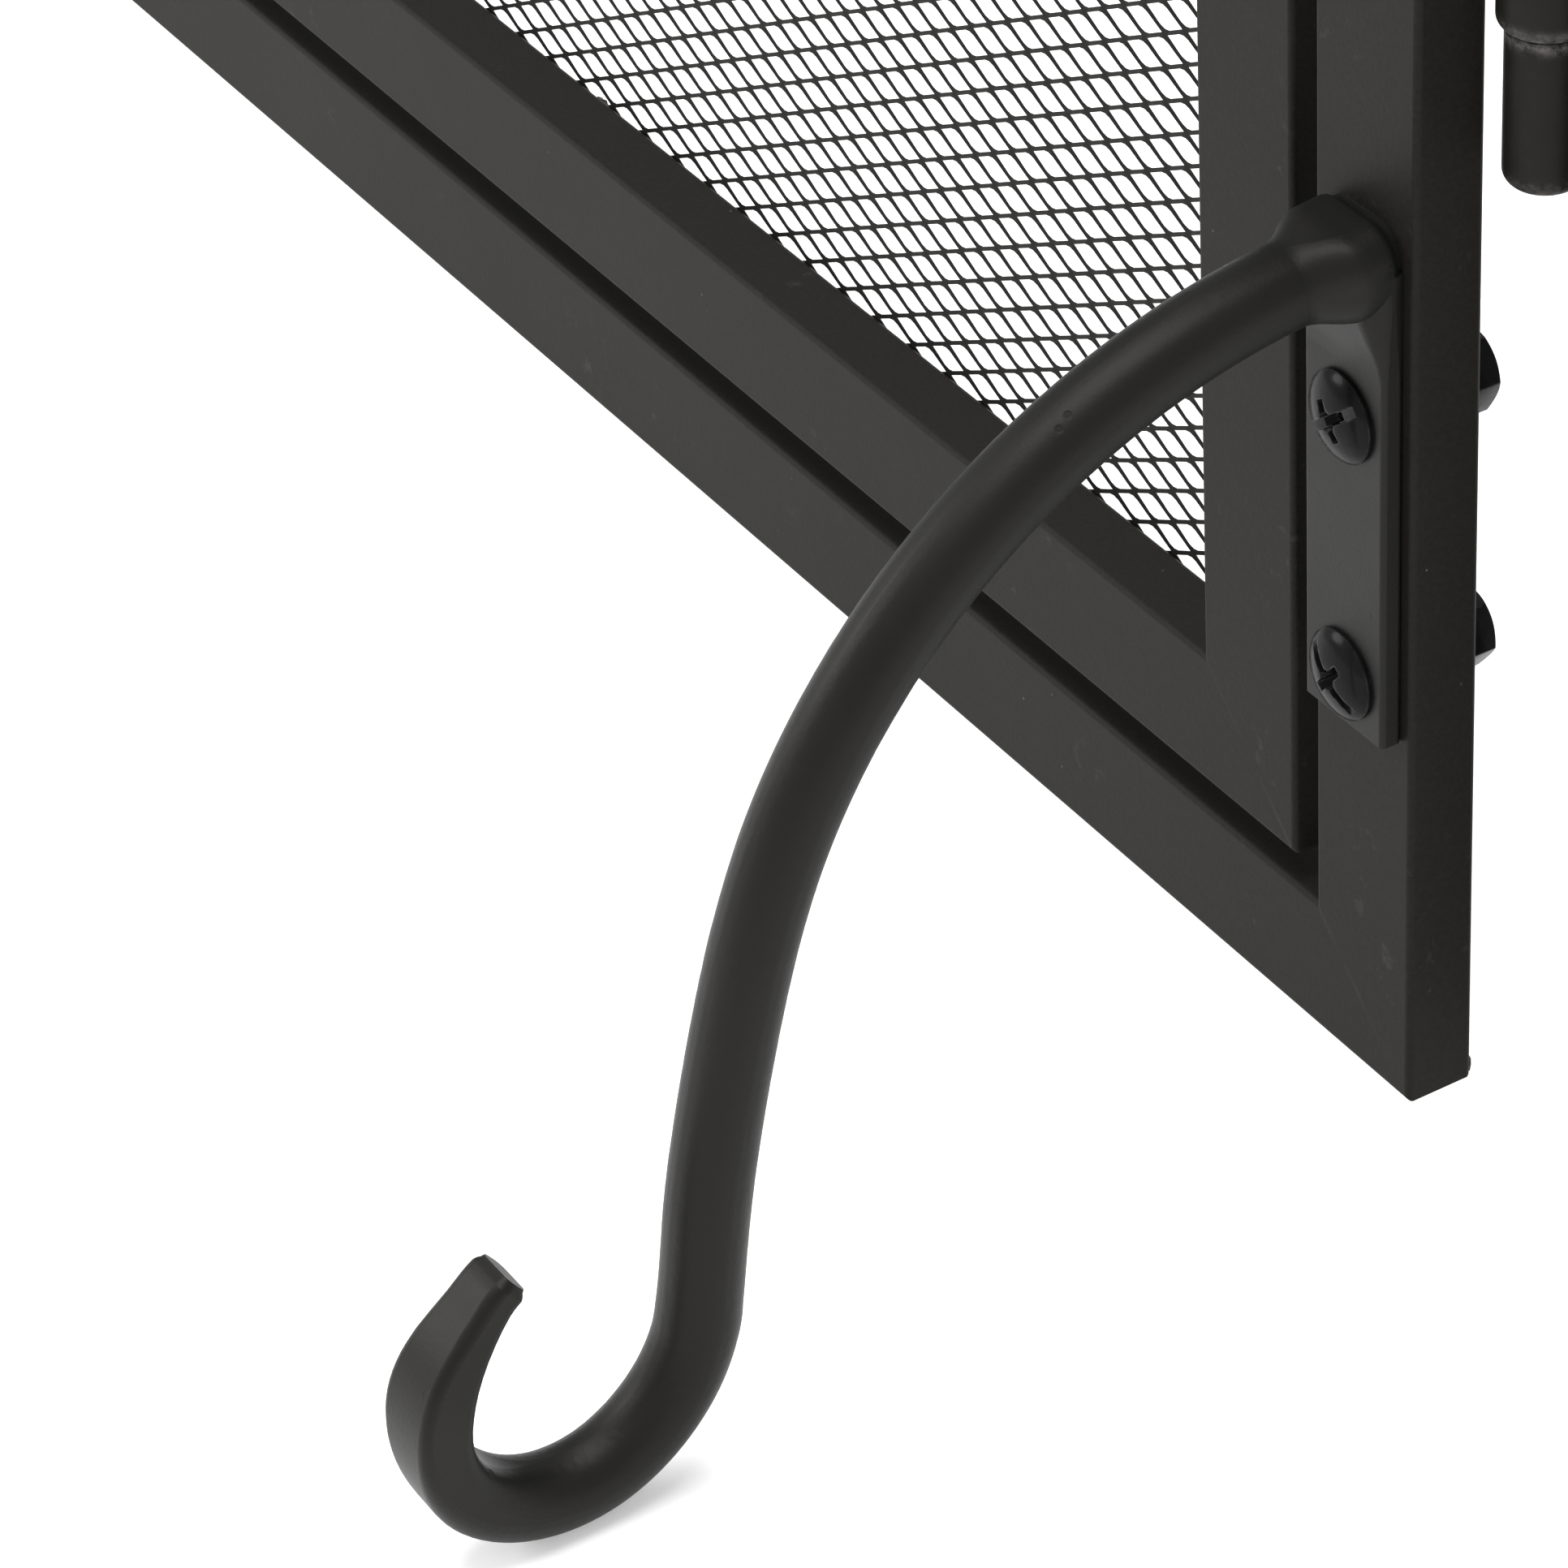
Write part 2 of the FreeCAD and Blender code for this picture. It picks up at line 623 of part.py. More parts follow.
class BarPath:
    """Centre line of a bent bar in the plane forward by up, made of straights and arcs."""

    def __init__(self, forward, up, heading):
        self.runs = []
        self.spot = (forward, up)
        self.heading = heading
        self.length = 0.0

    def straight(self, length):
        self.runs.append((self.length, length, self.spot, self.heading, 0.0))
        ahead, rise = heading_vector(self.heading)
        self.spot = (self.spot[0] + ahead * length, self.spot[1] + rise * length)
        self.length += length

    def bend(self, radius, heading):
        turn = math.radians(heading - self.heading)
        length = abs(turn) * radius
        self.runs.append((self.length, length, self.spot, self.heading, turn / length))
        self.spot = self._on_arc(self.spot, self.heading, turn / length, length)[:2]
        self.heading = heading
        self.length += length

    @staticmethod
    def _on_arc(spot, heading, curve, along):
        """Forward, up and heading after a length along an arc of a curvature."""
        start = math.radians(heading)
        end = start + curve * along
        forward = spot[0] + (math.sin(end) - math.sin(start)) / curve
        up = spot[1] - (math.cos(end) - math.cos(start)) / curve
        return forward, up, math.degrees(end)

    def at(self, distance):
        """Forward, up and heading at a distance along the bar."""
        for start, length, spot, heading, curve in self.runs:
            if distance <= start + length + 1e-9:
                break
        along = distance - start
        if curve:
            return self._on_arc(spot, heading, curve, along)
        ahead, rise = heading_vector(heading)
        return spot[0] + ahead * along, spot[1] + rise * along, heading


def bar_section(path, distance, width, thickness, corner):
    """Closed wire of a bar's section: width along X, thickness across the bar in its plane."""
    forward, up, heading = path.at(distance)
    ahead, rise = heading_vector(heading)
    centre = Vector(0, -forward, up)
    across = Vector(1, 0, 0)
    through = Vector(0, rise, ahead)      # square to the bar, in its plane
    flat_x = width / 2 - corner
    flat_t = thickness / 2 - corner

    def point(x, through_by):
        return centre + across * x + through * through_by

    edges = []
    last = None
    for sign_x, sign_t in ((1, 1), (-1, 1), (-1, -1), (1, -1)):
        hub_x = flat_x * sign_x
        hub_t = flat_t * sign_t
        side = point(hub_x + corner * sign_x, hub_t)
        crown = point(hub_x, hub_t + corner * sign_t)
        slant = corner / math.sqrt(2)
        middle = point(hub_x + slant * sign_x, hub_t + slant * sign_t)
        start, end = (side, crown) if sign_x == sign_t else (crown, side)
        if last is not None:
            edges.append(Part.LineSegment(last, start).toShape())
        else:
            first = start
        edges.append(Part.Arc(start, middle, end).toShape())
        last = end
    edges.append(Part.LineSegment(last, first).toShape())
    return Part.Wire(edges)


def blend_between(stations, distance):
    """Width, thickness and corner radius at a distance, eased between the nearest stations."""
    for (start, *before), (end, *after) in zip(stations, stations[1:]):
        if distance <= end:
            break
    share = min(max((distance - start) / (end - start), 0.0), 1.0)
    share = share * share * (3 - 2 * share)
    return [a + (b - a) * share for a, b in zip(before, after)]


def forged_bar(path, stations, begin, end, count):
    """Solid through sections of a bar between two distances along it."""
    wires = []
    for i in range(count + 1):
        distance = begin + (end - begin) * i / count
        wires.append(bar_section(path, distance, *blend_between(stations, distance)))
    return Part.makeLoft(wires, True, False)


def flat_end(path, stations, begin, end):
    """Straight flattened end of a bar: one section pushed along it."""
    width, thickness, corner = stations
    face = Part.Face(bar_section(path, begin, width, thickness, corner))
    start = Vector(0, -path.at(begin)[0], path.at(begin)[1])
    stop = Vector(0, -path.at(end)[0], path.at(end)[1])
    return face.extrude(stop - start)


def dress_back(shape):
    """Trim what stands behind the seat of a forged piece, so that it lies flat."""
    box = shape.BoundBox
    behind = Part.makeBox(box.XLength + 20, 20, box.ZLength + 20)
    behind.translate(Vector(box.XMin - 10, 0, box.ZMin - 10))
    return shape.cut(behind)


def drill(shape, radius, heights):
    """Holes through a flattened end, along Y."""
    for height in heights:
        shape = shape.cut(Part.makeCylinder(radius, 60, Vector(0, -30, height), Vector(0, 1, 0)))
    return shape


def forged_part(label, shape, x, z):
    """A sub-part of a finished shape, placed from the sheet."""
    feature = doc.addObject("Part::Feature", label)
    feature.Label = label
    feature.Shape = shape
    sub_parts.append(feature)
    return place(feature, x, 0, z)


FOOT_NECK_HEADING = -6.0       # the neck leaves the stile slightly downhill
FOOT_SWEEP_HEADING = -72.3     # end of the forward sweep
FOOT_SHANK_HEADING = -83.0     # end of the long, slightly bowed shank
FOOT_ENTRY_HEADING = -25.6     # end of the wider bend into the curl
FOOT_CURL_HEADING = 124.8      # end of the curl
FOOT_TOE_HEADING = 142.2       # the toe leans back over the curl


NECK_ROOT = 1.0                # extra length at the neck, trimmed off by the stile's face


def foot_path():
    """Centre line of a foot's bar, up from the frame's bottom edge. It starts a root's length
    inside the stile, and is trimmed there. The shank's radius brings the curl to the floor."""
    path = BarPath(-NECK_ROOT, dim.plate_foot.value + dim.plate_length.value, FOOT_NECK_HEADING)
    path.straight(dim.neck_reach.value + NECK_ROOT)
    path.bend(dim.sweep_radius.value, FOOT_SWEEP_HEADING)
    entry = dim.entry_radius.value
    curl = dim.curl_radius.value
    floor = -dim.floor_clearance.value
    shank_cos = math.cos(math.radians(FOOT_SHANK_HEADING))
    entry_cos = math.cos(math.radians(FOOT_ENTRY_HEADING))
    rise = entry * (entry_cos - shank_cos) + curl * (1 - entry_cos)
    shank_end = floor + dim.bar_size.value / 2 + rise
    drop = path.spot[1] - shank_end
    fall = math.cos(math.radians(FOOT_SWEEP_HEADING)) - shank_cos
    path.bend(drop / fall, FOOT_SHANK_HEADING)
    path.bend(entry, FOOT_ENTRY_HEADING)
    path.bend(curl, FOOT_CURL_HEADING)
    path.bend(dim.toe_radius.value, FOOT_TOE_HEADING)
    return path


def scroll_feet():
    """Two forged feet on the front of the centre frame's stiles."""
    plate_path = BarPath(dim.plate_thickness.value / 2, dim.plate_foot.value, 90.0)
    plate_path.straight(dim.plate_length.value)
    path = foot_path()
    bar = dim.bar_size.value
    plate = (dim.plate_width.value, dim.plate_thickness.value, 0.7)
    neck = (dim.plate_width.value, dim.neck_height.value, dim.neck_corner.value)
    neck_edge = (neck[0] - 1.6, neck[1] - 1.2, neck[2] - 0.4)
    toe = (dim.toe_width.value, dim.toe_thickness.value, 1.5)
    neck_full = NECK_ROOT + dim.web_thickness.value
    neck_stop = neck_full + dim.neck_flare.value
    web = (plate[0], 2 * dim.web_thickness.value - plate[1], neck[2] * 0.7)
    web_start = plate_path.length - dim.web_height.value
    plate_stations = [(web_start, *plate), (plate_path.length - neck[1] / 3, *web)]
    curl_start = path.runs[3][0]
    curl_length = path.runs[3][1] + path.runs[4][1]
    tip_start = path.length - dim.toe_dressing.value
    round_bar = (bar, bar, bar * 0.48)
    stations = [
        (NECK_ROOT, *neck_edge),
        (NECK_ROOT + 1.6, *neck),
        (neck_full, *neck),
        (neck_stop, *round_bar),
        (curl_start + curl_length * 0.48, *round_bar),
        (curl_start + curl_length * 0.9, bar * 0.98, bar * 0.69, 1.3),
        (tip_start, *toe),
        (path.length, toe[0] * 0.86, toe[1] * 0.8, toe[2]),
    ]
    low = dim.foot_screw_low.value
    heights = (low, low + dim.foot_screw_pitch.value)
    for name, side in SIDES:
        parts = [flat_end(plate_path, plate, 0.0, web_start)]
        parts.append(forged_bar(plate_path, plate_stations, web_start, plate_path.length, 14))
        parts.append(forged_bar(path, stations, 0.0, neck_stop, 20))
        parts.append(forged_bar(path, stations, neck_stop, curl_start, 12))
        parts.append(forged_bar(path, stations, curl_start, tip_start, 18))
        parts.append(forged_bar(path, stations, tip_start, path.length, 3))
        shape = parts[0].fuse(parts[1:])
        shape = dress_back(shape)
        shape = drill(shape, dim.foot_thread.value / 2 + dim.screw_play.value, heights)
        forged_part(f"{name}_scroll_foot", shape, stile_middle * side, base)


HANDLE_BOW_HEADING = 28.0      # how steeply the bow leaves its pads


def handle_path():
    """Centre line of a handle from the lower end of its lower pad, from its own middle."""
    pad_length = dim.pad_length.value
    bend = dim.pad_bend.value
    bow = dim.bow_radius.value
    rise = bend * math.cos(math.radians(HANDLE_BOW_HEADING))
    rise += bow * math.cos(math.radians(HANDLE_BOW_HEADING))
    path = BarPath(dim.pad_thickness.value / 2, -pad_length - rise, 90.0)
    path.straight(pad_length)
    path.bend(bend, HANDLE_BOW_HEADING)
    path.bend(bow, 180.0 - HANDLE_BOW_HEADING)
    path.bend(bend, 90.0)
    path.straight(pad_length)
    return path


def set_handle_rise():
    """Handle screws from the handle's middle, as a Size, from the same values as the path."""
    slope = Size(HANDLE_BOW_HEADING).cos()
    length = dim.pad_length + (dim.pad_bend + dim.bow_radius) * slope
    return length - dim.handle_screw_inset


def handles():
    """Two bow handles on the meeting stiles."""
    path = handle_path()
    bar = dim.handle_bar.value
    flat = (dim.pad_width.value, dim.pad_thickness.value, 0.6)
    round_bar = (bar, bar, bar * 0.48)
    low_end = dim.pad_length.value
    high_start = path.length - low_end
    blend = path.runs[1][1] + bar
    stations = [
        (low_end, *flat),
        (low_end + blend, *round_bar),
        (high_start - blend, *round_bar),
        (high_start, *flat),
    ]
    rise = handle_rise.value
    for name, side in SIDES:
        parts = [flat_end(path, flat, 0.0, low_end), flat_end(path, flat, high_start, path.length)]
        parts.append(forged_bar(path, stations, low_end, low_end + blend, 6))
        parts.append(forged_bar(path, stations, low_end + blend, high_start - blend, 10))
        parts.append(forged_bar(path, stations, high_start - blend, high_start, 6))
        shape = parts[0].fuse(parts[1:])
        shape = dress_back(shape)
        shape = drill(shape, dim.handle_thread.value / 2 + dim.screw_play.value, (-rise, rise))
        x = (door_inner + dim.tube_face / 2) * side
        forged_part(f"{name}_door_handle", shape, x, base + dim.handle_height)


# ---------------------------------------------------------------- screws, nuts and the catch
def truss_screws(label, thread, head, head_height, length, pitch):
    """Two low-headed screws a pitch apart along Y. Local Z points out of the head, and the
    head's seat is at Z = 0."""
    body = new_body(label)
    shank = thread / 2
    profile = outline(
        attach(body, "XZ_Plane", "Profile"),
        [
            (0, -length),
            (shank, -length),
            (shank, 0),
            (head / 2, 0),
            (head / 2, head_height * 0.3),
            (head * 0.42, head_height * 0.75),
            (head * 0.27, head_height),
            (0, head_height),
        ],
    )
    revolve(body, profile)
    slot = attach(body, "XY_Plane", "Slot", head_height)
    rectangle(slot, -head, -(thread / 10), head, thread / 10)
    pocket(body, slot, head_height * 0.4)
    return twin(body, pitch)


def twin(body, pitch):
    """Repeat everything in a body once, a pitch along Y."""
    seed = body.Shape.copy()
    features = [item for item in body.Group if item.TypeId.startswith("PartDesign::")]
    before = seed.Volume
    repeat(body, features, pitch)
    if body.Shape.Volume < before * 1.8:
        raise RuntimeError(f"{body.Label}: the second copy is missing")
    return body


def hex_nuts(label, thread, flats, height, pitch):
    """Two hexagon nuts a pitch apart along Y, seated at Z = 0 and standing along +Z."""
    body = new_body(label)
    corner = flats / 2 / Size(30).cos()
    points = [(corner * Size(60 * i).sin(), corner * Size(60 * i).cos()) for i in range(6)]
    hexagon = outline(attach(body, "XY_Plane", "Hexagon"), points)
    pad(body, hexagon, height)
    bore = circle(attach(body, "XY_Plane", "Bore"), 0, 0, thread / 2 + 0.05)
    pocket(body, bore, height * 3, both_ways=True)
    return twin(body, pitch)


def foot_fasteners():
    """Screws through the feet and the stiles, with nuts behind."""
    grip = dim.plate_thickness + dim.tube_depth
    length = grip + dim.foot_nut_height + dim.screw_proud
    low = base + dim.foot_screw_low
    for name, side in SIDES:
        screws = truss_screws(
            f"{name}_foot_screws",
            dim.foot_thread,
            dim.foot_head,
            dim.foot_head_height,
            length,
            dim.foot_screw_pitch,
        )
        place(screws, stile_middle * side, -dim.plate_thickness, low, FRONT_UP)
        nuts = hex_nuts(
            f"{name}_foot_nuts",
            dim.foot_thread,
            dim.foot_nut,
            dim.foot_nut_height,
            dim.foot_screw_pitch,
        )
        high = low + dim.foot_screw_pitch
        place(nuts, stile_middle * side, dim.tube_depth, high, BACK_UP)


def handle_fasteners():
    """Screws through the handles and the meeting stiles, with nuts behind."""
    grip = dim.pad_thickness + dim.tube_depth
    length = grip + dim.handle_nut_height + dim.screw_proud
    middle = base + dim.handle_height
    pitch = 2 * handle_rise
    for name, side in SIDES:
        x = (door_inner + dim.tube_face / 2) * side
        screws = truss_screws(
            f"{name}_handle_screws",
            dim.handle_thread,
            dim.handle_head,
            dim.handle_head_height,
            length,
            pitch,
        )
        place(screws, x, -dim.pad_thickness, middle - handle_rise, FRONT_UP)
        nuts = hex_nuts(
            f"{name}_handle_nuts",
            dim.handle_thread,
            dim.handle_nut,
            dim.handle_nut_height,
            pitch,
        )
        place(nuts, x, dim.tube_depth, middle + handle_rise, BACK_UP)


def magnetic_catch():
    """Joggled plate behind the top rail, with two magnets that meet the doors' top rails."""
    rail_low = base + dim.frame_height - dim.tube_face
    sheet = dim.catch_sheet
    face = dim.tube_depth
    back = face + dim.magnet_gap + dim.magnet_height
    lap = dim.catch_lap
    drop = dim.door_gap + dim.catch_drop
    joggle = dim.door_gap / 2
    body = new_body("catch_plate")
    section = outline(
        attach(body, "YZ_Plane", "Joggle"),
        [
            (face, lap),
            (face, 0),
            (back, -joggle),
            (back, -drop),
            (back + sheet, -drop),
            (back + sheet, -joggle + sheet / 2),
            (face + sheet, sheet / 2),
            (face + sheet, lap),
        ],
    )
    pad(body, section, dim.catch_width, both_ways=True)
    drilling = attach(body, "XZ_Plane", "Holes")
    for sign in (-1, 1):
        x = dim.catch_screw_pitch / 2 * sign
        circle(drilling, x, lap / 2, dim.catch_thread / 2 + dim.screw_play)
    pocket(body, drilling, face * 6, both_ways=True)
    place(body, 0, 0, rail_low)

    magnets = new_body("catch_magnets")
    disc = circle(attach(magnets, "XY_Plane", "Disc"), 0, 0, dim.magnet_size / 2)
    pad(magnets, disc, dim.magnet_height)
    twin(magnets, dim.magnet_pitch)
    # local +Z points to the room, local +Y to +X
    turn = Rotation(Vector(0, 0, 1), Vector(1, 0, 0), Vector(0, -1, 0), "ZYX")
    magnet_z = rail_low - dim.door_gap - dim.catch_drop / 2
    place(magnets, -(dim.magnet_pitch / 2), back, magnet_z, turn)

    screws = truss_screws(
        "catch_screws",
        dim.catch_thread,
        dim.catch_head,
        dim.catch_head_height,
        dim.catch_screw_length,
        dim.catch_screw_pitch,
    )
    # local +Z points to the fire, local +Y to +X
    turn = Rotation(Vector(0, 0, -1), Vector(1, 0, 0), Vector(0, 1, 0), "ZYX")
    place(screws, -(dim.catch_screw_pitch / 2), face + sheet, rail_low + lap / 2, turn)


# ---------------------------------------------------------------- build, check and write
def middle_of_footprint():
    """Front face of the frames, from midway between the feet's front and the wings' far end."""
    angle = dim.wing_rest_angle
    run = wing_start + dim.wing_width - dim.wing_axis_out
    far = wing_axis_y + run * angle.sin() + (dim.tube_depth - wing_axis_y) * angle.cos()
    path = foot_path()
    forward = max(path.at(path.length * step / 200)[0] for step in range(201))
    return (forward + dim.toe_thickness / 2 - far) / 2


def check(item):
    """Stop if a sub-part has no good shape."""
    shape = item.Shape
    if shape.isNull() or not shape.isValid() or not shape.Solids:
        raise RuntimeError(f"{item.Label}: bad shape")


front_y = middle_of_footprint()
handle_rise = set_handle_rise()
centre_frame()
doors()
wings()
wing_hinges()
door_hinges()
scroll_feet()
handles()
foot_fasteners()
handle_fasteners()
magnetic_catch()
doc.recompute()

for item in doc.Objects:
    if "Invalid" in item.State or "Error" in item.State:
        raise RuntimeError(f"{item.Label}: {item.State}")
for item in sub_parts:
    check(item)

os.makedirs("parts", exist_ok=True)
for item in sub_parts:
    item.Shape.exportStep(f"parts/{item.Label}.step")
print(f"{len(sub_parts)} sub-parts written")
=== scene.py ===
"""Looks of the three-panel fireplace screen: painted tube frames, expanded steel mesh,
forged feet and handles, lift-off hinges and their screws and nuts. Metres, +Z up, room at -Y."""

import math
import random

import bpy
import numpy as np
from mathutils import Matrix, Vector


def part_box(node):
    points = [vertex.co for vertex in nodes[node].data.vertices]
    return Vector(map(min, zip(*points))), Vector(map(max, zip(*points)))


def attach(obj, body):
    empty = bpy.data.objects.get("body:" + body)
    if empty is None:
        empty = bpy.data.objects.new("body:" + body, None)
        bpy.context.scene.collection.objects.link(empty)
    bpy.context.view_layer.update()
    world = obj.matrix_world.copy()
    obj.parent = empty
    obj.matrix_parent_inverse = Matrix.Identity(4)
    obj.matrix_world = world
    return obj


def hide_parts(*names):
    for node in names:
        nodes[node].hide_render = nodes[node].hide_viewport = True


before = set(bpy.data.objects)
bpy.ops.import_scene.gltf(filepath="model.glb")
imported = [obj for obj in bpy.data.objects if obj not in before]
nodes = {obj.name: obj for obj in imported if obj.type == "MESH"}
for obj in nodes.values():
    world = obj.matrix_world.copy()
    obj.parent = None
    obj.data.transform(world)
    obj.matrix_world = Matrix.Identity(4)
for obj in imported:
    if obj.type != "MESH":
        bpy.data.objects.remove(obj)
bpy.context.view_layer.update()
MM = 0.001
SIDES = ("left", "right")
WARM = (1.0, 0.965, 0.91, 1.0)     # reflections in the paint lean to brown


# ------------------------------------------------------------------ shader helpers
class Val:
    """A shader socket that takes part in Python arithmetic."""

    def __init__(self, tree, socket):
        self.tree = tree
        self.socket = socket

    def _math(self, operation, first, second=None, clamp=False):
        node = self.tree.nodes.new("ShaderNodeMath")
        node.operation = operation
        node.use_clamp = clamp
        for slot, value in zip(node.inputs, (first, second)):
            if isinstance(value, Val):
                self.tree.links.new(value.socket, slot)
            elif value is not None:
                slot.default_value = value
        return Val(self.tree, node.outputs[0])

    def __add__(self, other):
        return self._math("ADD", self, other)

    def __radd__(self, other):
        return self._math("ADD", other, self)

    def __sub__(self, other):
        return self._math("SUBTRACT", self, other)

    def __rsub__(self, other):
        return self._math("SUBTRACT", other, self)

    def __mul__(self, other):
        return self._math("MULTIPLY", self, other)

    def __rmul__(self, other):
        return self._math("MULTIPLY", other, self)

    def clamped(self):
        return self._math("ADD", self, 0.0, clamp=True)

    def step(self, low, high):
        """0 under low, 1 over high, and even in between."""
        return ((self - low) * (1.0 / (high - low))).clamped()


class Finish:
    """One material: its node tree, the shader, and one way to add any node."""

    def __init__(self, name, **constants):
        self.material = bpy.data.materials.new(name)
        self.material.use_nodes = True
        self.tree = self.material.node_tree
        self.shader = self.tree.nodes["Principled BSDF"]
        for socket, value in constants.items():
            self.shader.inputs[socket.replace("_", " ")].default_value = value
        self.place = self.node("ShaderNodeTexCoord", out=3)

    def node(self, kind, settings=None, out=0, **values):
        """Add a node: its settings first, then the values or links of its sockets. A socket is
        named, or numbered as i0, i1 and so on. Gives back the output numbered out."""
        made = self.tree.nodes.new(kind)
        for key, value in (settings or {}).items():
            setattr(made, key, value)
        for key, value in values.items():
            slot = made.inputs[int(key[1:]) if key[1:].isdigit() else key]
            if isinstance(value, Val):
                self.tree.links.new(value.socket, slot)
            elif isinstance(value, tuple) and slot.type == "RGBA":
                slot.default_value = (*value, 1.0)
            else:
                slot.default_value = value
        return Val(self.tree, made.outputs[out])

    def noise(self, size, detail=3.0, rough=0.5):
        """Noise whose features are about size metres across."""
        return self.node(
            "ShaderNodeTexNoise", Vector=self.place, Scale=1.0 / size, Detail=detail,
            Roughness=rough,
        )

    def specks(self, size, radius):
        """Scattered dots, one now and then in cells of size metres."""
        distance = self.node("ShaderNodeTexVoronoi", Vector=self.place, Scale=1.0 / size)
        return 1 - distance.step(radius, radius * 1.7)

    def edge_band(self, radius):
        """1 on sharp or rounded outer edges, 0 on flats."""
        soft = self.node("ShaderNodeBevel", {"samples": 4}, Radius=radius)
        true = self.node("ShaderNodeNewGeometry", out=1)
        both = self.node(
            "ShaderNodeVectorMath", {"operation": "DOT_PRODUCT"}, out=1, i0=soft, i1=true
        )
        return (1 - both).step(0.01, 0.16)

    def blend(self, amount, low, high):
        """A colour between two colours, or between colours that are blends themselves."""
        return self.node("ShaderNodeMix", {"data_type": "RGBA"}, out=2, i0=amount, i6=low, i7=high)

    def colour(self, value):
        self.tree.links.new(value.socket, self.shader.inputs["Base Color"])

    def rough(self, value):
        self.tree.links.new(value.socket, self.shader.inputs["Roughness"])

    def relief(self, height, depth, strength=1.0):
        """Bump of that depth in metres."""
        bump = self.node("ShaderNodeBump", Height=height, Distance=depth, Strength=strength)
        self.tree.links.new(bump.socket, self.shader.inputs["Normal"])


def frame_paint():
    """Matt powder coat over steel tube: fine grain, dust specks, edges rubbed a little pale."""
    f = Finish("frame_powder_coat", Specular_IOR_Level=0.075, Specular_Tint=WARM)
    cloud = f.noise(0.055, 4.0, 0.6)
    grain = f.noise(0.0006, 2.0, 0.6)
    pale_edge = f.edge_band(0.0009) * f.noise(0.009, 4.0, 0.65).step(0.42, 0.72)
    dust = f.specks(0.0070, 0.020) * f.noise(0.02, 2.0).step(0.48, 0.60)
    scuff = f.noise(0.0035, 5.0, 0.7).step(0.60, 0.70) * f.noise(0.03, 2.0).step(0.50, 0.60)
    base = f.blend(cloud, (0.0080, 0.0075, 0.0068), (0.0112, 0.0105, 0.0095))
    base = f.blend(grain.step(0.35, 0.75) * 0.25, base, (0.024, 0.023, 0.0215))
    base = f.blend(pale_edge * 0.30, base, (0.060, 0.057, 0.053))
    base = f.blend(scuff * 0.22, base, (0.075, 0.072, 0.068))
    base = f.blend(dust * 0.55, base, (0.20, 0.19, 0.175))
    f.colour(base)
    f.rough((0.44 + cloud * 0.10 + grain * 0.05 - pale_edge * 0.10 + dust * 0.2).clamped())
    f.relief(grain * 0.7 + f.noise(0.0022, 2.0) * 0.5 + dust * 1.2, 0.00006, 0.45)
    return f.material


def forged_paint():
    """Satin black paint over forged bar: hammer waves, pits and a few rubbed edges."""
    f = Finish("forged_satin_paint", Specular_IOR_Level=0.15, Specular_Tint=WARM)
    wave = f.noise(0.016, 2.0, 0.5)
    grain = f.noise(0.0005, 2.0, 0.6)
    pits = f.specks(0.0060, 0.06) * f.noise(0.018, 2.0).step(0.55, 0.64)
    pale_edge = f.edge_band(0.0007) * f.noise(0.007, 4.0, 0.65).step(0.48, 0.75)
    dust = f.specks(0.0085, 0.018) * f.noise(0.025, 2.0).step(0.5, 0.62)
    base = f.blend(wave, (0.0062, 0.0061, 0.0060), (0.0092, 0.0090, 0.0087))
    base = f.blend(pale_edge * 0.35, base, (0.050, 0.048, 0.046))
    base = f.blend(dust * 0.45, base, (0.20, 0.19, 0.18))
    f.colour(base)
    f.rough((0.37 + wave * 0.10 + grain * 0.05 + pits * 0.15).clamped())
    f.relief(wave * 2.2 + grain * 0.35 + (1 - pits) * 0.9, 0.00011, 0.6)
    return f.material


def mesh_paint():
    """Thin paint on the expanded mesh, a little uneven where strands meet."""
    f = Finish("mesh_paint", Specular_IOR_Level=0.10, Specular_Tint=WARM)
    cloud = f.noise(0.012, 3.0)
    grain = f.noise(0.0004, 2.0)
    base = f.blend(cloud, (0.0045, 0.0043, 0.0040), (0.0085, 0.0081, 0.0076))
    base = f.blend(f.noise(0.0016, 3.0, 0.7).step(0.62, 0.74) * 0.3, base, (0.040, 0.038, 0.035))
    f.colour(base)
    f.rough((0.46 + cloud * 0.12 + grain * 0.05).clamped())
    f.relief(grain, 0.00003, 0.5)
    return f.material


def fastener_black():
    """Glossy black oxide and oil on screws and nuts, with edges painted paler: partly rubbed
    metal, partly a painted highlight along the head rims and slot edges.
    """
    f = Finish(
        "fastener_gloss_black", Specular_IOR_Level=0.05, Coat_Roughness=0.06, Coat_Weight=0.03
    )
    cloud = f.noise(0.0035, 4.0, 0.6)
    # edges painted paler: partly rubbed through, partly a painted highlight on the head rims and
    # slot edges
    pale_edge = f.edge_band(0.0004) * f.noise(0.0018, 3.0, 0.7).step(0.40, 0.66)
    base = f.blend(cloud, (0.004, 0.004, 0.0042), (0.009, 0.009, 0.009))
    base = f.blend(pale_edge * 0.5, base, (0.16, 0.16, 0.16))
    f.colour(base)
    f.rough((0.16 + cloud * 0.14).clamped())
    f.relief(f.noise(0.0009, 3.0), 0.00005, 0.5)
    return f.material


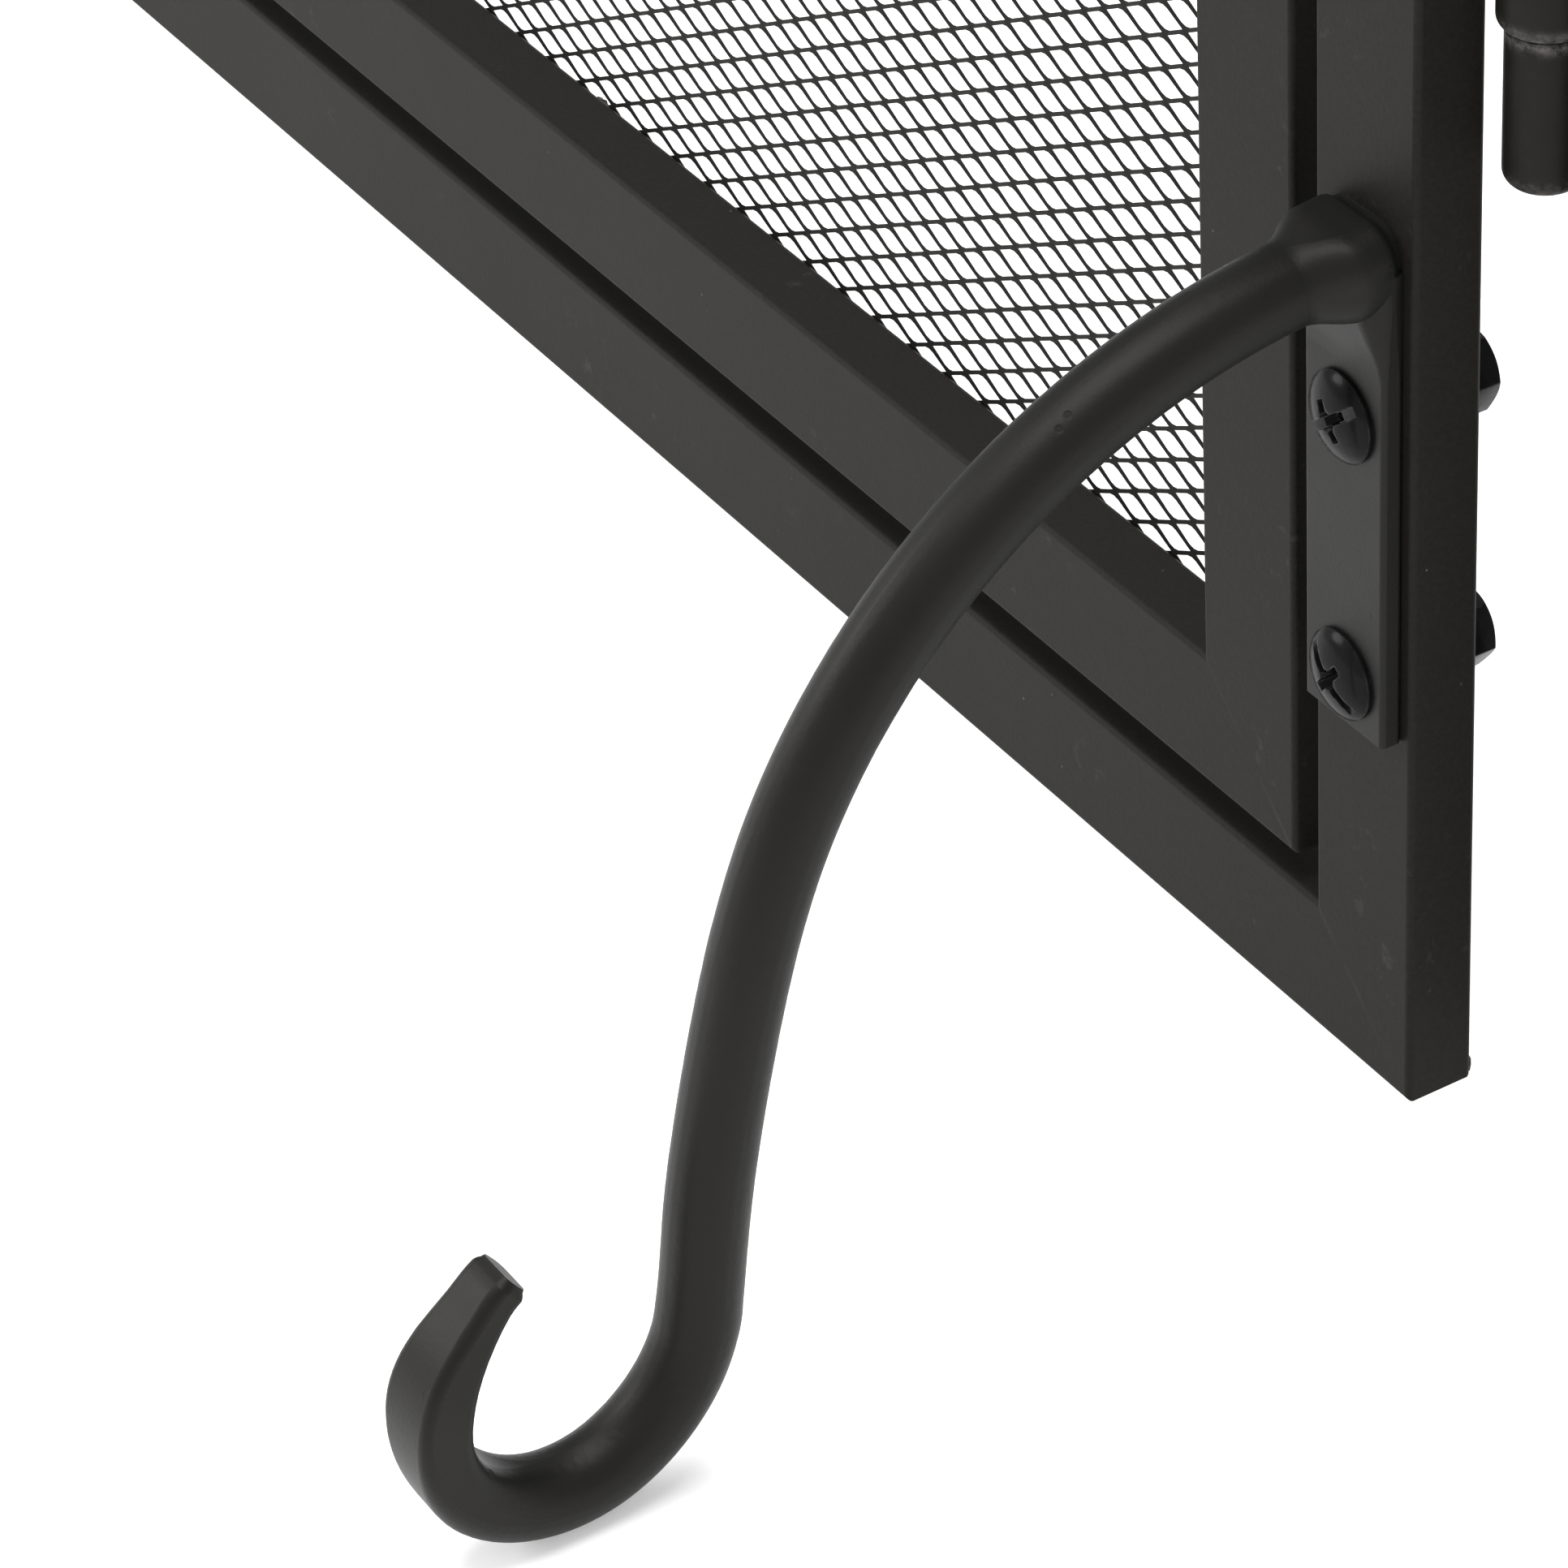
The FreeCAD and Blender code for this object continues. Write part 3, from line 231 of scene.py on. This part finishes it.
def hinge_paint():
    """Paint on the hinge barrels, scuffed through on the rims where the halves lift apart; the
    pale rims are also a painted highlight where the chamfers catch the light.
    """
    f = Finish("hinge_paint", Specular_IOR_Level=0.11, Specular_Tint=WARM)
    cloud = f.noise(0.03, 4.0, 0.6)
    grain = f.noise(0.0005, 2.0)
    # pale rims: partly paint scuffed through, partly a painted highlight on the lit chamfers
    rim = f.edge_band(0.0030) * f.noise(0.0022, 5.0, 0.75).step(0.40, 0.62)
    base = f.blend(cloud, (0.0068, 0.0065, 0.0061), (0.0098, 0.0093, 0.0087))
    base = f.blend(rim * 0.75, base, (0.30, 0.285, 0.265))
    f.colour(base)
    f.rough((0.42 + cloud * 0.10 + rim * 0.12).clamped())
    f.relief(grain * 0.6 + rim * 1.5, 0.00006, 0.5)
    return f.material


def weld_paint():
    """Weld metal under the same paint: lumpy, with small spatter."""
    f = Finish("painted_weld", Specular_IOR_Level=0.28)
    lump = f.noise(0.0022, 3.0, 0.6)
    base = f.blend(lump, (0.0075, 0.0072, 0.0068), (0.0150, 0.0142, 0.0132))
    f.colour(base)
    f.rough((0.34 + lump * 0.20).clamped())
    f.relief(lump, 0.0004, 0.7)
    return f.material


def glide_plastic():
    """Moulded black plastic, fine spark texture and a rubbed sole."""
    f = Finish("glide_plastic_moulded", Specular_IOR_Level=0.45)
    grain = f.noise(0.0005, 2.0)
    pale_edge = f.edge_band(0.0008) * f.noise(0.003, 3.0).step(0.4, 0.6)
    base = f.blend(f.noise(0.006, 3.0), (0.014, 0.014, 0.0145), (0.022, 0.022, 0.023))
    base = f.blend(pale_edge * 0.35, base, (0.09, 0.09, 0.09))
    f.colour(base)
    f.rough((0.52 + grain * 0.14).clamped())
    f.relief(grain, 0.00005, 0.6)
    return f.material


def magnet_nickel():
    """Nickel plate on the catch magnets, lightly scratched."""
    f = Finish("magnet_nickel_plate", Metallic=1.0)
    haze = f.noise(0.0015, 4.0, 0.7)
    f.colour(f.blend(haze, (0.46, 0.44, 0.41), (0.66, 0.63, 0.58)))
    f.rough((0.20 + haze * 0.20).clamped())
    f.relief(f.noise(0.0004, 2.0), 0.00002, 0.5)
    return f.material


FRAME_PAINT = frame_paint()
FORGED_PAINT = forged_paint()
MESH_PAINT = mesh_paint()
FASTENER = fastener_black()
HINGE_PAINT = hinge_paint()
WELD_PAINT = weld_paint()
GLIDE = glide_plastic()
NICKEL = magnet_nickel()


def paint_node(name, material):
    """Give a kept CAD node its finish."""
    mesh = nodes[name].data
    mesh.materials.clear()
    mesh.materials.append(material)


def finish_for(name):
    """The finish of a kept CAD node, by the kind of piece it is."""
    if "hinge_pin" in name or "hinge_socket" in name:
        return HINGE_PAINT
    if "foot" in name and "scroll" in name or name.endswith("_handle"):
        return FORGED_PAINT
    if "screws" in name or "nuts" in name:
        return FASTENER
    if "glide" in name:
        return GLIDE
    if "magnets" in name:
        return NICKEL
    return FRAME_PAINT


for node_name in nodes:
    paint_node(node_name, finish_for(node_name))


# ------------------------------------------------------------------ pieces
def new_piece(name, points, faces, material, body, slot, *stands_for):
    """Make a piece of the object from points in the row frame and let it ride on a body."""
    mesh = bpy.data.meshes.new(name)
    mesh.from_pydata(points, [], faces)
    mesh.update()
    piece = bpy.data.objects.new(name, mesh)
    bpy.context.scene.collection.objects.link(piece)
    mesh.materials.append(material)
    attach(piece, body)
    if stands_for:
        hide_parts(*stands_for)
    return piece


# ------------------------------------------------------------------ expanded steel mesh
LONG_WAY = 8.996 * MM      # pitch of the diamonds, along the rows
SHORT_WAY = 4.850 * MM     # pitch of the diamonds, up the sheet
STRAND = 0.55 * MM         # width of a strand
BOND_HALF = 0.95 * MM      # half length of the flat where strands join
BOND_RISE = 0.20 * MM      # rounding of the opening at the bond
TILT = 0.16 * MM           # a strand's lower edge stands out, its upper edge in
FACE_AT = 0.20 * MM        # front of the strands behind the tube's back face
RIDGE_AT = 0.50 * MM       # back of the strands
SHIFT_ALONG = -3.22 * MM   # an opening's middle from the middle of its sheet
SHIFT_UP = -1.33 * MM


def sheet_axes(name):
    """A mesh sheet's centre, the directions along and behind it, its width and height, and how
    far its front lies from the centre, from its own CAD node."""
    co = np.array([v.co for v in nodes[name].data.vertices])
    middle = (co.min(0) + co.max(0)) / 2
    flat = co[:, :2] - middle[:2]
    spread = flat.T @ flat
    angle = 0.5 * math.atan2(2 * spread[0, 1], spread[0, 0] - spread[1, 1])
    along = np.array([math.cos(angle), math.sin(angle), 0.0])
    back = np.array([-along[1], along[0], 0.0])
    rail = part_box(name.replace("mesh", "bottom_rail"))
    rail_middle = np.array((rail[0] + rail[1]) / 2)
    if (middle - rail_middle) @ back < 0:
        along, back = -along, -back
    reach = (co - middle) @ along
    depth = (co - middle) @ back
    return middle, along, back, np.ptp(reach), np.ptp(co[:, 2]), depth.min()


def expanded_sheet(name, body):
    """Diamond mesh slit and pulled from one sheet. Each joint of the strands has nine points:
    eight round its front and one on its back ridge."""
    middle, along, back, width, height, face = sheet_axes(name)
    half_long, half_short = LONG_WAY / 2, SHORT_WAY / 2
    slope = math.hypot(1 / half_long, 1 / half_short)
    share = 1 - STRAND / 2 * slope
    tip = half_long * share
    shoulder = half_short * (share - BOND_HALF / half_long)
    crown = shoulder + BOND_RISE
    ring = [
        (BOND_HALF, -half_short + shoulder, -TILT),
        (0.0, -half_short + crown, -TILT * 1.1),
        (-BOND_HALF, -half_short + shoulder, -TILT),
        (-half_long + tip, 0.0, 0.0),
        (-BOND_HALF, half_short - shoulder, TILT),
        (0.0, half_short - crown, TILT * 1.1),
        (BOND_HALF, half_short - shoulder, TILT),
        (half_long - tip, 0.0, 0.0),
    ]
    below_right, below, below_left, left, above_left, above, above_right, right = range(8)
    ridge = 8
    columns = int(width / half_long / 2) + 2
    rows = int(height / half_short / 2) + 2
    points, faces, start = [], [], {}
    for i in range(-columns, columns + 1):
        for j in range(-rows, rows + 1):
            u, v = i * half_long + SHIFT_ALONG, j * half_short + SHIFT_UP
            inside = abs(u) < width / 2 - BOND_HALF and abs(v) < height / 2 - STRAND
            if (i + j) % 2 and inside:
                start[i, j] = len(points)
                points += [(u + du, v + dv, FACE_AT + dw) for du, dv, dw in ring]
                points.append((u, v, RIDGE_AT))
    for (i, j), s in start.items():
        faces.append([s + k for k in (below_right, right, above_right, above, above_left,
                                      left, below_left, below)])
        for a, b in ((below_right, below), (below, below_left),
                     (above_left, above), (above, above_right)):
            faces.append([s + a, s + b, s + ridge])
        ends = {
            (1, 1): (right, above_right), (1, -1): (below_right, right),
            (-1, 1): (above_left, left), (-1, -1): (left, below_left),
        }
        for step, (a, b) in ends.items():
            if (i + step[0], j + step[1]) not in start:
                faces.append([s + b, s + a, s + ridge])
        up = start.get((i + 1, j + 1))
        if up is not None:
            faces.append([s + right, up + below_left, up + left, s + above_right])
            faces.append([s + above_right, up + left, up + ridge, s + ridge])
            faces.append([s + ridge, up + ridge, up + below_left, s + right])
        down = start.get((i + 1, j - 1))
        if down is not None:
            faces.append([s + below_right, down + left, down + above_left, s + right])
            faces.append([s + right, down + above_left, down + ridge, s + ridge])
            faces.append([s + ridge, down + ridge, down + left, s + below_right])
    local = np.array(points)
    place = middle + np.outer(local[:, 0], along) + np.outer(local[:, 2] + face, back)
    place[:, 2] += local[:, 1]
    return new_piece(
        name + "_expanded", place.tolist(), faces, MESH_PAINT, body, "mesh_black", name
    )


for side in SIDES:
    expanded_sheet(f"{side}_door_mesh", f"{side}_door")
    expanded_sheet(f"{side}_wing_mesh", f"{side}_wing")


# ------------------------------------------------------------------ screws and nuts
def turned(profile, steps=48):
    """Points and faces of a turned part. The profile's (radius, height) pairs start and end
    on the axis, lower end first."""
    rings = profile[1:-1]
    points = [(0.0, 0.0, profile[0][1])]
    for radius, height in rings:
        for k in range(steps):
            angle = math.tau * k / steps
            points.append((radius * math.cos(angle), radius * math.sin(angle), height))
    points.append((0.0, 0.0, profile[-1][1]))
    top = len(points) - 1
    faces = []
    for k in range(steps):
        n = (k + 1) % steps
        faces.append([0, 1 + n, 1 + k])
        for r in range(len(rings) - 1):
            low, high = 1 + r * steps, 1 + (r + 1) * steps
            faces.append([low + k, low + n, high + n, high + k])
        last = 1 + (len(rings) - 1) * steps
        faces.append([last + k, last + n, top])
    return points, faces


def tapered_block(long_top, wide_top, long_low, wide_low, top, low):
    """Points and faces of a block that narrows downwards."""
    points = []
    for length, width, height in ((long_low, wide_low, low), (long_top, wide_top, top)):
        for sx, sy in ((-1, -1), (1, -1), (1, 1), (-1, 1)):
            points.append((sx * length / 2, sy * width / 2, height))
    faces = [[3, 2, 1, 0], [4, 5, 6, 7]]
    faces += [[k, (k + 1) % 4, (k + 1) % 4 + 4, k + 4] for k in range(4)]
    return points, faces


def spun(shape, degrees):
    """A shape turned about its axis."""
    c, s = math.cos(math.radians(degrees)), math.sin(math.radians(degrees))
    return [(x * c - y * s, x * s + y * c, z) for x, y, z in shape[0]], shape[1]


def carved(shape, tools, edge):
    """A shape after each (operation, tool) in turn, with its sharp edges eased."""
    made = []
    for points, faces in [shape] + [tool for _, tool in tools]:
        mesh = bpy.data.meshes.new("blank")
        mesh.from_pydata(points, [], faces)
        made.append(bpy.data.objects.new("blank", mesh))
        bpy.context.scene.collection.objects.link(made[-1])
    blank = made[0]
    for (operation, _), tool in zip(tools, made[1:]):
        cut = blank.modifiers.new("cut", "BOOLEAN")
        cut.operation = operation
        cut.solver = "EXACT"
        cut.object = tool
    ease = blank.modifiers.new("ease", "BEVEL")
    ease.width = edge
    ease.segments = 2
    ease.limit_method = "ANGLE"
    ease.angle_limit = math.radians(28)
    graph = bpy.context.evaluated_depsgraph_get()
    result = blank.evaluated_get(graph).to_mesh()
    points = [tuple(v.co) for v in result.vertices]
    faces = [list(face.vertices) for face in result.polygons]
    for item in made:
        bpy.data.objects.remove(item)
    return points, faces


def threaded(radius, length):
    """Half profile of a screw's shank with its thread, from the tip up to the head."""
    pitch = radius / 3
    rings = [(0.0, -length), (radius * 0.80, -length), (radius * 0.98, -length + pitch * 0.6)]
    height = -length + pitch
    while height < -length * 0.35:
        rings += [(radius * 0.88, height), (radius * 0.98, height + pitch / 2)]
        height += pitch
    return rings + [(radius * 0.98, 0.0)]


def truss_screw(head, height, shank, length, turn):
    """Low domed head with a slot right across and a cross recess in its middle."""
    profile = threaded(shank, length) + [(head * 0.985, 0.0), (head, height * 0.08)]
    rim = height * 0.30
    profile += [(head, rim * 0.75)]
    for k in range(1, 9):
        reach = 1 - k / 9
        profile.append((head * reach, rim + (height - rim) * (1 - reach ** 2.3)))
    profile.append((0.0, height))
    slot = tapered_block(head * 3, head * 0.235, head * 3, head * 0.215, height * 2, height * 0.52)
    across = tapered_block(
        head * 1.12, head * 0.25, head * 0.46, head * 0.14, height * 1.2, height * 0.05
    )
    along = spun(across, 90)
    middle = spun(tapered_block(
        head * 0.50, head * 0.50, head * 0.22, head * 0.22, height * 1.2, -height * 0.15
    ), 45)
    cuts = [("DIFFERENCE", tool) for tool in (slot, across, along, middle)]
    return spun(carved(turned(profile, 64), cuts, head * 0.018), turn)


def hexagon_nut(flats, height, bore, turn):
    """Hexagon nut, chamfered at both ends, with a countersunk bore."""
    corner = flats / math.cos(math.radians(30))
    body = turned([(0.0, 0.0), (corner, 0.0), (corner, height), (0.0, height)], 6)
    drop = (corner - flats * 0.97) * 0.62
    chamfer = turned([
        (0.0, 0.0), (flats * 0.97, 0.0), (corner * 1.01, drop), (corner * 1.01, height - drop),
        (flats * 0.97, height), (0.0, height),
    ], 72)
    sink = bore * 0.16
    hole = turned([
        (0.0, -sink), (bore + 2 * sink, -sink), (bore, sink), (bore, height - sink),
        (bore + 2 * sink, height + sink), (0.0, height + sink),
    ], 48)
    tools = [("INTERSECT", chamfer), ("DIFFERENCE", hole)]
    return spun(carved(body, tools, flats * 0.022), turn)


def joined(shapes):
    """Several shapes as one list of points and faces."""
    points, faces = [], []
    for more_points, more_faces in shapes:
        first = len(points)
        points += more_points
        faces += [[first + k for k in face] for face in more_faces]
    return points, faces


def seated(shape, at, outward):
    """A shape stood on a seat, its axis along outward (towards +Y or -Y)."""
    return [
        (at[0] - outward * x, at[1] + outward * z, at[2] + y) for x, y, z in shape[0]
    ], shape[1]


def smooth_by_angle(piece, degrees=32):
    """Smooth shading, with edges sharper than the angle left crisp."""
    piece.data.shade_smooth()
    limit = math.radians(degrees)
    edges = piece.data.edges
    normals = [face.normal for face in piece.data.polygons]
    beside = [[] for _ in edges]
    by_key = {edge.key: edge.index for edge in edges}
    for face in piece.data.polygons:
        for key in face.edge_keys:
            beside[by_key[key]].append(face.index)
    for edge in edges:
        pair = beside[edge.index]
        edge.use_edge_sharp = len(pair) != 2 or normals[pair[0]].angle(normals[pair[1]], 0) > limit


def screw_set(name, body, thread, seat_lap, turns):
    """The screws of one node, each at its own turn. A set stands in a column unless it is the
    catch's, which lies in a row and faces the fire."""
    low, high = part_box(name)
    row = name == "catch_screws"
    head = (high.z - low.z if row else high.x - low.x) / 2
    outward = 1 if row else -1
    full = high.y - low.y
    seat = high.y - seat_lap if row else low.y + seat_lap
    shapes = []
    for k, turn in enumerate(turns):
        if row:
            at = (low.x + head if k == 0 else high.x - head, seat, (low.z + high.z) / 2)
        else:
            at = ((low.x + high.x) / 2, seat, low.z + head if k == 0 else high.z - head)
        shape = truss_screw(head, seat_lap, thread, full - seat_lap, turn)
        shapes.append(seated(shape, at, outward))
    points, faces = joined(shapes)
    piece = new_piece(name + "_slotted", points, faces, FASTENER, body, "fastener_black", name)
    smooth_by_angle(piece)


def nut_set(name, body, thread, turns):
    """The two nuts of one node, one over the other behind a stile."""
    low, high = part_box(name)
    flats = (high.x - low.x) / 2
    corner = flats / math.cos(math.radians(30))
    shapes = []
    for k, turn in enumerate(turns):
        at = ((low.x + high.x) / 2, low.y, low.z + corner if k == 0 else high.z - corner)
        shapes.append(seated(hexagon_nut(flats, high.y - low.y, thread * 1.03, turn), at, 1))
    points, faces = joined(shapes)
    piece = new_piece(name + "_hexagon", points, faces, FASTENER, body, "fastener_black", name)
    smooth_by_angle(piece)


# head height and thread radius of each size of screw, in millimetres
FOOT_HEAD, FOOT_THREAD = 2.6 * MM, 3.0 * MM
HANDLE_HEAD, HANDLE_THREAD = 2.2 * MM, 2.5 * MM
CATCH_HEAD, CATCH_THREAD = 2.0 * MM, 2.0 * MM

screw_set("right_foot_screws", "centre_panel", FOOT_THREAD, FOOT_HEAD, (-39, 37))
screw_set("left_foot_screws", "centre_panel", FOOT_THREAD, FOOT_HEAD, (12, 71))
screw_set("right_handle_screws", "right_door", HANDLE_THREAD, HANDLE_HEAD, (64, 8))
screw_set("left_handle_screws", "left_door", HANDLE_THREAD, HANDLE_HEAD, (-22, 50))
screw_set("catch_screws", "centre_panel", CATCH_THREAD, CATCH_HEAD, (20, -35))
nut_set("right_foot_nuts", "centre_panel", FOOT_THREAD, (8, -4))
nut_set("left_foot_nuts", "centre_panel", FOOT_THREAD, (17, 3))
nut_set("right_handle_nuts", "right_door", HANDLE_THREAD, (24, 11))
nut_set("left_handle_nuts", "left_door", HANDLE_THREAD, (5, 20))


# ------------------------------------------------------------------ welds
RIPPLE = 0.7 * MM          # from one ripple of a bead to the next
BEAD_SIDES = 8
BEAD_HEIGHT = 0.62         # a bead stands this share of its radius off the face
rng = random.Random(11)


def bead(start, end, outward, radius):
    """Rippled weld bead between two points of a face, flatter towards outward."""
    start, end, outward = (np.array(v, float) for v in (start, end, outward))
    run = end - start
    length = np.linalg.norm(run)
    run = run / length
    beside = np.cross(run, outward)
    count = max(4, int(length / RIPPLE))
    points = [tuple(start - run * radius * 0.6)]
    for k in range(count + 1):
        middle = start + run * length * k / count + beside * rng.uniform(-0.1, 0.1) * radius
        full = radius * (0.80 + 0.16 * (k % 2) + rng.uniform(-0.07, 0.07))
        full *= 0.75 if k in (0, count) else 1.0
        for n in range(BEAD_SIDES):
            turn = math.tau * n / BEAD_SIDES
            reach = beside * math.cos(turn) + outward * math.sin(turn) * BEAD_HEIGHT
            points.append(tuple(middle + reach * full))
    points.append(tuple(end + run * radius * 0.6))
    last = len(points) - 1
    faces = []
    for n in range(BEAD_SIDES):
        m = (n + 1) % BEAD_SIDES
        faces.append([0, 1 + n, 1 + m])
        for k in range(count):
            a, b = 1 + k * BEAD_SIDES, 1 + (k + 1) * BEAD_SIDES
            faces.append([a + n, b + n, b + m, a + m])
        a = 1 + count * BEAD_SIDES
        faces.append([a + m, a + n, last])
    return points, faces


def weld_piece(name, shapes, body):
    """Weld beads of one place, as a piece under the paint."""
    piece = new_piece(name, *joined(shapes), WELD_PAINT, body, "frame_black")
    piece.data.shade_smooth()


TAB_BEAD = 11 * MM         # beads along the upper and lower edges of a weld tab
TAB_AT_MOST = 3.2 * MM     # no weld tab is thicker
SAME_PLACE = 0.1 * MM      # points this near count as one


def hinge_welds(name, body, radius):
    """Beads round the weld tab of a hinge half: its end edge, then its upper and lower edges."""
    co = np.array([v.co for v in nodes[name].data.vertices])
    joint_end = co[np.abs(co[:, 2] - co[:, 2].max()) < 0.05 * MM]
    axis = (joint_end.min(0) + joint_end.max(0))[:2] / 2
    away = np.linalg.norm(co[:, :2] - axis, axis=1)
    end_edge = co[away > away.max() - SAME_PLACE]
    corner = end_edge[0]
    across = co[np.linalg.norm(co[:, :2] - corner[:2], axis=1) < TAB_AT_MOST]
    other = across[np.argmax(np.linalg.norm(across[:, :2] - corner[:2], axis=1))]
    outward = (other - corner) * (1, 1, 0)
    outward = outward / np.linalg.norm(outward)
    inward = np.array([-outward[1], outward[0], 0.0])
    if inward[:2] @ (axis - corner[:2]) < 0:
        inward = -inward
    low = np.array([*corner[:2], end_edge[:, 2].min()])
    high = np.array([*corner[:2], end_edge[:, 2].max()])
    reach = inward * TAB_BEAD
    shapes = [
        bead(low, high, outward, radius),
        bead(low, low + reach, outward, radius),
        bead(high, high + reach, outward, radius),
    ]
    weld_piece(name + "_welds", shapes, body)


TUBE_BESIDE_MESH = 15 * MM     # from the edge of a mesh sheet to the outside of its frame
TACK_PITCH = 85 * MM           # from one tack of a mesh sheet to the next
TACK_LAP = 2.6 * MM            # tacks inside the edge of the sheet
TACK_CORNER = 6 * MM           # first and last tack from the sheet's corners
TACK_SEAT = 0.45 * MM          # tacks over the tube's back face
MITRE_BEAD = 1.25 * MM         # radius of the bead over a mitre
MITRE_START = 0.9 * MM         # bead from the frame's outer corner, along each edge


def mitre_beads(middle, along, back, half_width, half_height, lap):
    """A bead over each mitre on the back of a frame, from its outer corner inwards."""
    shapes = []
    for su in (-1, 1):
        for sv in (-1, 1):
            ends = []
            for inset in (MITRE_START, lap):
                u, v = su * (half_width - inset), sv * (half_height - inset)
                ends.append(middle + along * u + np.array([0, 0, v]))
            shapes.append(bead(*ends, back, MITRE_BEAD))
    return shapes


def panel_welds(name, body):
    """Mitre beads and mesh tacks on the back of a door or a wing."""
    middle, along, back, width, height, face = sheet_axes(name)
    seat = middle + back * face
    half_u, half_v = width / 2, height / 2
    shapes = mitre_beads(
        seat, along, back, half_u + TUBE_BESIDE_MESH, half_v + TUBE_BESIDE_MESH, TUBE_BESIDE_MESH
    )
    weld_piece(name.replace("mesh", "mitre_welds"), shapes, body)
    tacks = []
    for half, other, first, second in (
        (half_u, half_v - TACK_LAP, along, np.array([0, 0, 1.0])),
        (half_v, half_u - TACK_LAP, np.array([0, 0, 1.0]), along),
    ):
        count = int(2 * half / TACK_PITCH)
        for k in range(count + 1):
            reach = (half - TACK_CORNER) * (2 * k / count - 1)
            for sign in (-1, 1):
                at = seat + first * reach + second * sign * other + back * TACK_SEAT
                size = rng.uniform(0.8, 1.3) * MM
                tacks.append(bead(at - first * size, at + first * size, back, size * 1.3))
    weld_piece(name + "_tacks", tacks, body)


WING_HINGE_BEAD = 1.2 * MM
DOOR_HINGE_BEAD = 0.8 * MM
CENTRE_TUBE_FACE = 20 * MM

for side in SIDES:
    for level in ("lower", "upper"):
        hinge_welds(f"{side}_wing_{level}_hinge_socket", "centre_panel", WING_HINGE_BEAD)
        hinge_welds(f"{side}_wing_{level}_hinge_pin", f"{side}_wing", WING_HINGE_BEAD)
        hinge_welds(f"{side}_door_{level}_hinge_pin", "centre_panel", DOOR_HINGE_BEAD)
        hinge_welds(f"{side}_door_{level}_hinge_socket", f"{side}_door", DOOR_HINGE_BEAD)
    panel_welds(f"{side}_door_mesh", f"{side}_door")
    panel_welds(f"{side}_wing_mesh", f"{side}_wing")

frame_low, frame_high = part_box("centre_left_stile")[0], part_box("centre_right_stile")[1]
centre_back = np.array([0.0, frame_high.y, (frame_low.z + frame_high.z) / 2])
weld_piece(
    "centre_frame_mitre_welds",
    mitre_beads(
        centre_back, np.array([1.0, 0, 0]), np.array([0, 1.0, 0]),
        frame_high.x, (frame_high.z - frame_low.z) / 2, CENTRE_TUBE_FACE,
    ),
    "centre_panel",
)


# ------------------------------------------------------------------ studio
FLOOR_HALF = 40.0


def floor_and_light():
    """A wide pale floor and soft lamps all round."""
    mesh = bpy.data.meshes.new("studio_floor")
    r = FLOOR_HALF
    mesh.from_pydata([(-r, -r, 0), (r, -r, 0), (r, r, 0), (-r, r, 0)], [], [(0, 1, 2, 3)])
    floor = bpy.data.objects.new("studio_floor", mesh)
    bpy.context.scene.collection.objects.link(floor)
    f = Finish("studio_floor_white", Specular_IOR_Level=0.1, Emission_Strength=0.3)
    f.colour(f.blend(f.noise(0.5, 2.0), (0.86, 0.86, 0.86), (0.88, 0.88, 0.88)))
    f.rough((0.85 + f.noise(0.1, 2.0) * 0.1).clamped())
    mesh.materials.append(f.material)

    world = bpy.data.worlds.new("studio")
    world.use_nodes = True
    world.node_tree.nodes["Background"].inputs["Color"].default_value = (1, 1, 1, 1)
    world.node_tree.nodes["Background"].inputs["Strength"].default_value = 0.8
    bpy.context.scene.world = world
    lamps = (
        ("overhead", (0.2, -0.2, 3.0), (0.2, -0.1, 0.0), 2.6, 110.0),
        ("room_left", (-1.9, -2.4, 1.7), (0.2, -0.1, 0.3), 1.6, 60.0),
    )
    for name, at, aim, size, power in lamps:
        lamp = bpy.data.lights.new(name, "AREA")
        lamp.shape = "DISK"
        lamp.size = size
        lamp.energy = power
        holder = bpy.data.objects.new(name, lamp)
        holder.location = at
        holder.rotation_euler = (Vector(aim) - Vector(at)).to_track_quat("-Z", "Y").to_euler()
        bpy.context.scene.collection.objects.link(holder)


LENS = 149.05                                # millimetres, on a sensor 36 wide
VIEW_FROM_CORNER = Vector((517.3, -385.0, 522.4)) * MM
VIEW_TURN = (60.17, 36.06, 3.54)             # azimuth, elevation and roll, in degrees


def camera():
    """A long lens close to the lower right corner of the screen."""
    corner = Vector((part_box("centre_right_stile")[1].x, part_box("centre_right_stile")[0].y,
                     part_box("centre_right_stile")[0].z))
    azimuth, elevation, roll = (math.radians(a) for a in VIEW_TURN)
    back = Vector((math.sin(azimuth) * math.cos(elevation),
                   -math.cos(azimuth) * math.cos(elevation), math.sin(elevation)))
    across = Vector((math.cos(azimuth), math.sin(azimuth), 0.0))
    up = back.cross(across)
    x_axis = across * math.cos(roll) - up * math.sin(roll)
    y_axis = across * math.sin(roll) + up * math.cos(roll)
    data = bpy.data.cameras.new("camera")
    data.lens = LENS
    data.sensor_width = 36.0
    data.clip_start = 0.02
    holder = bpy.data.objects.new("camera", data)
    at = corner + VIEW_FROM_CORNER
    turn = Matrix((x_axis, y_axis, back)).transposed().to_4x4()
    holder.matrix_world = Matrix.Translation(at) @ turn
    bpy.context.scene.collection.objects.link(holder)
    bpy.context.scene.camera = holder


floor_and_light()
camera()
bpy.context.scene.view_settings.view_transform = "Standard"
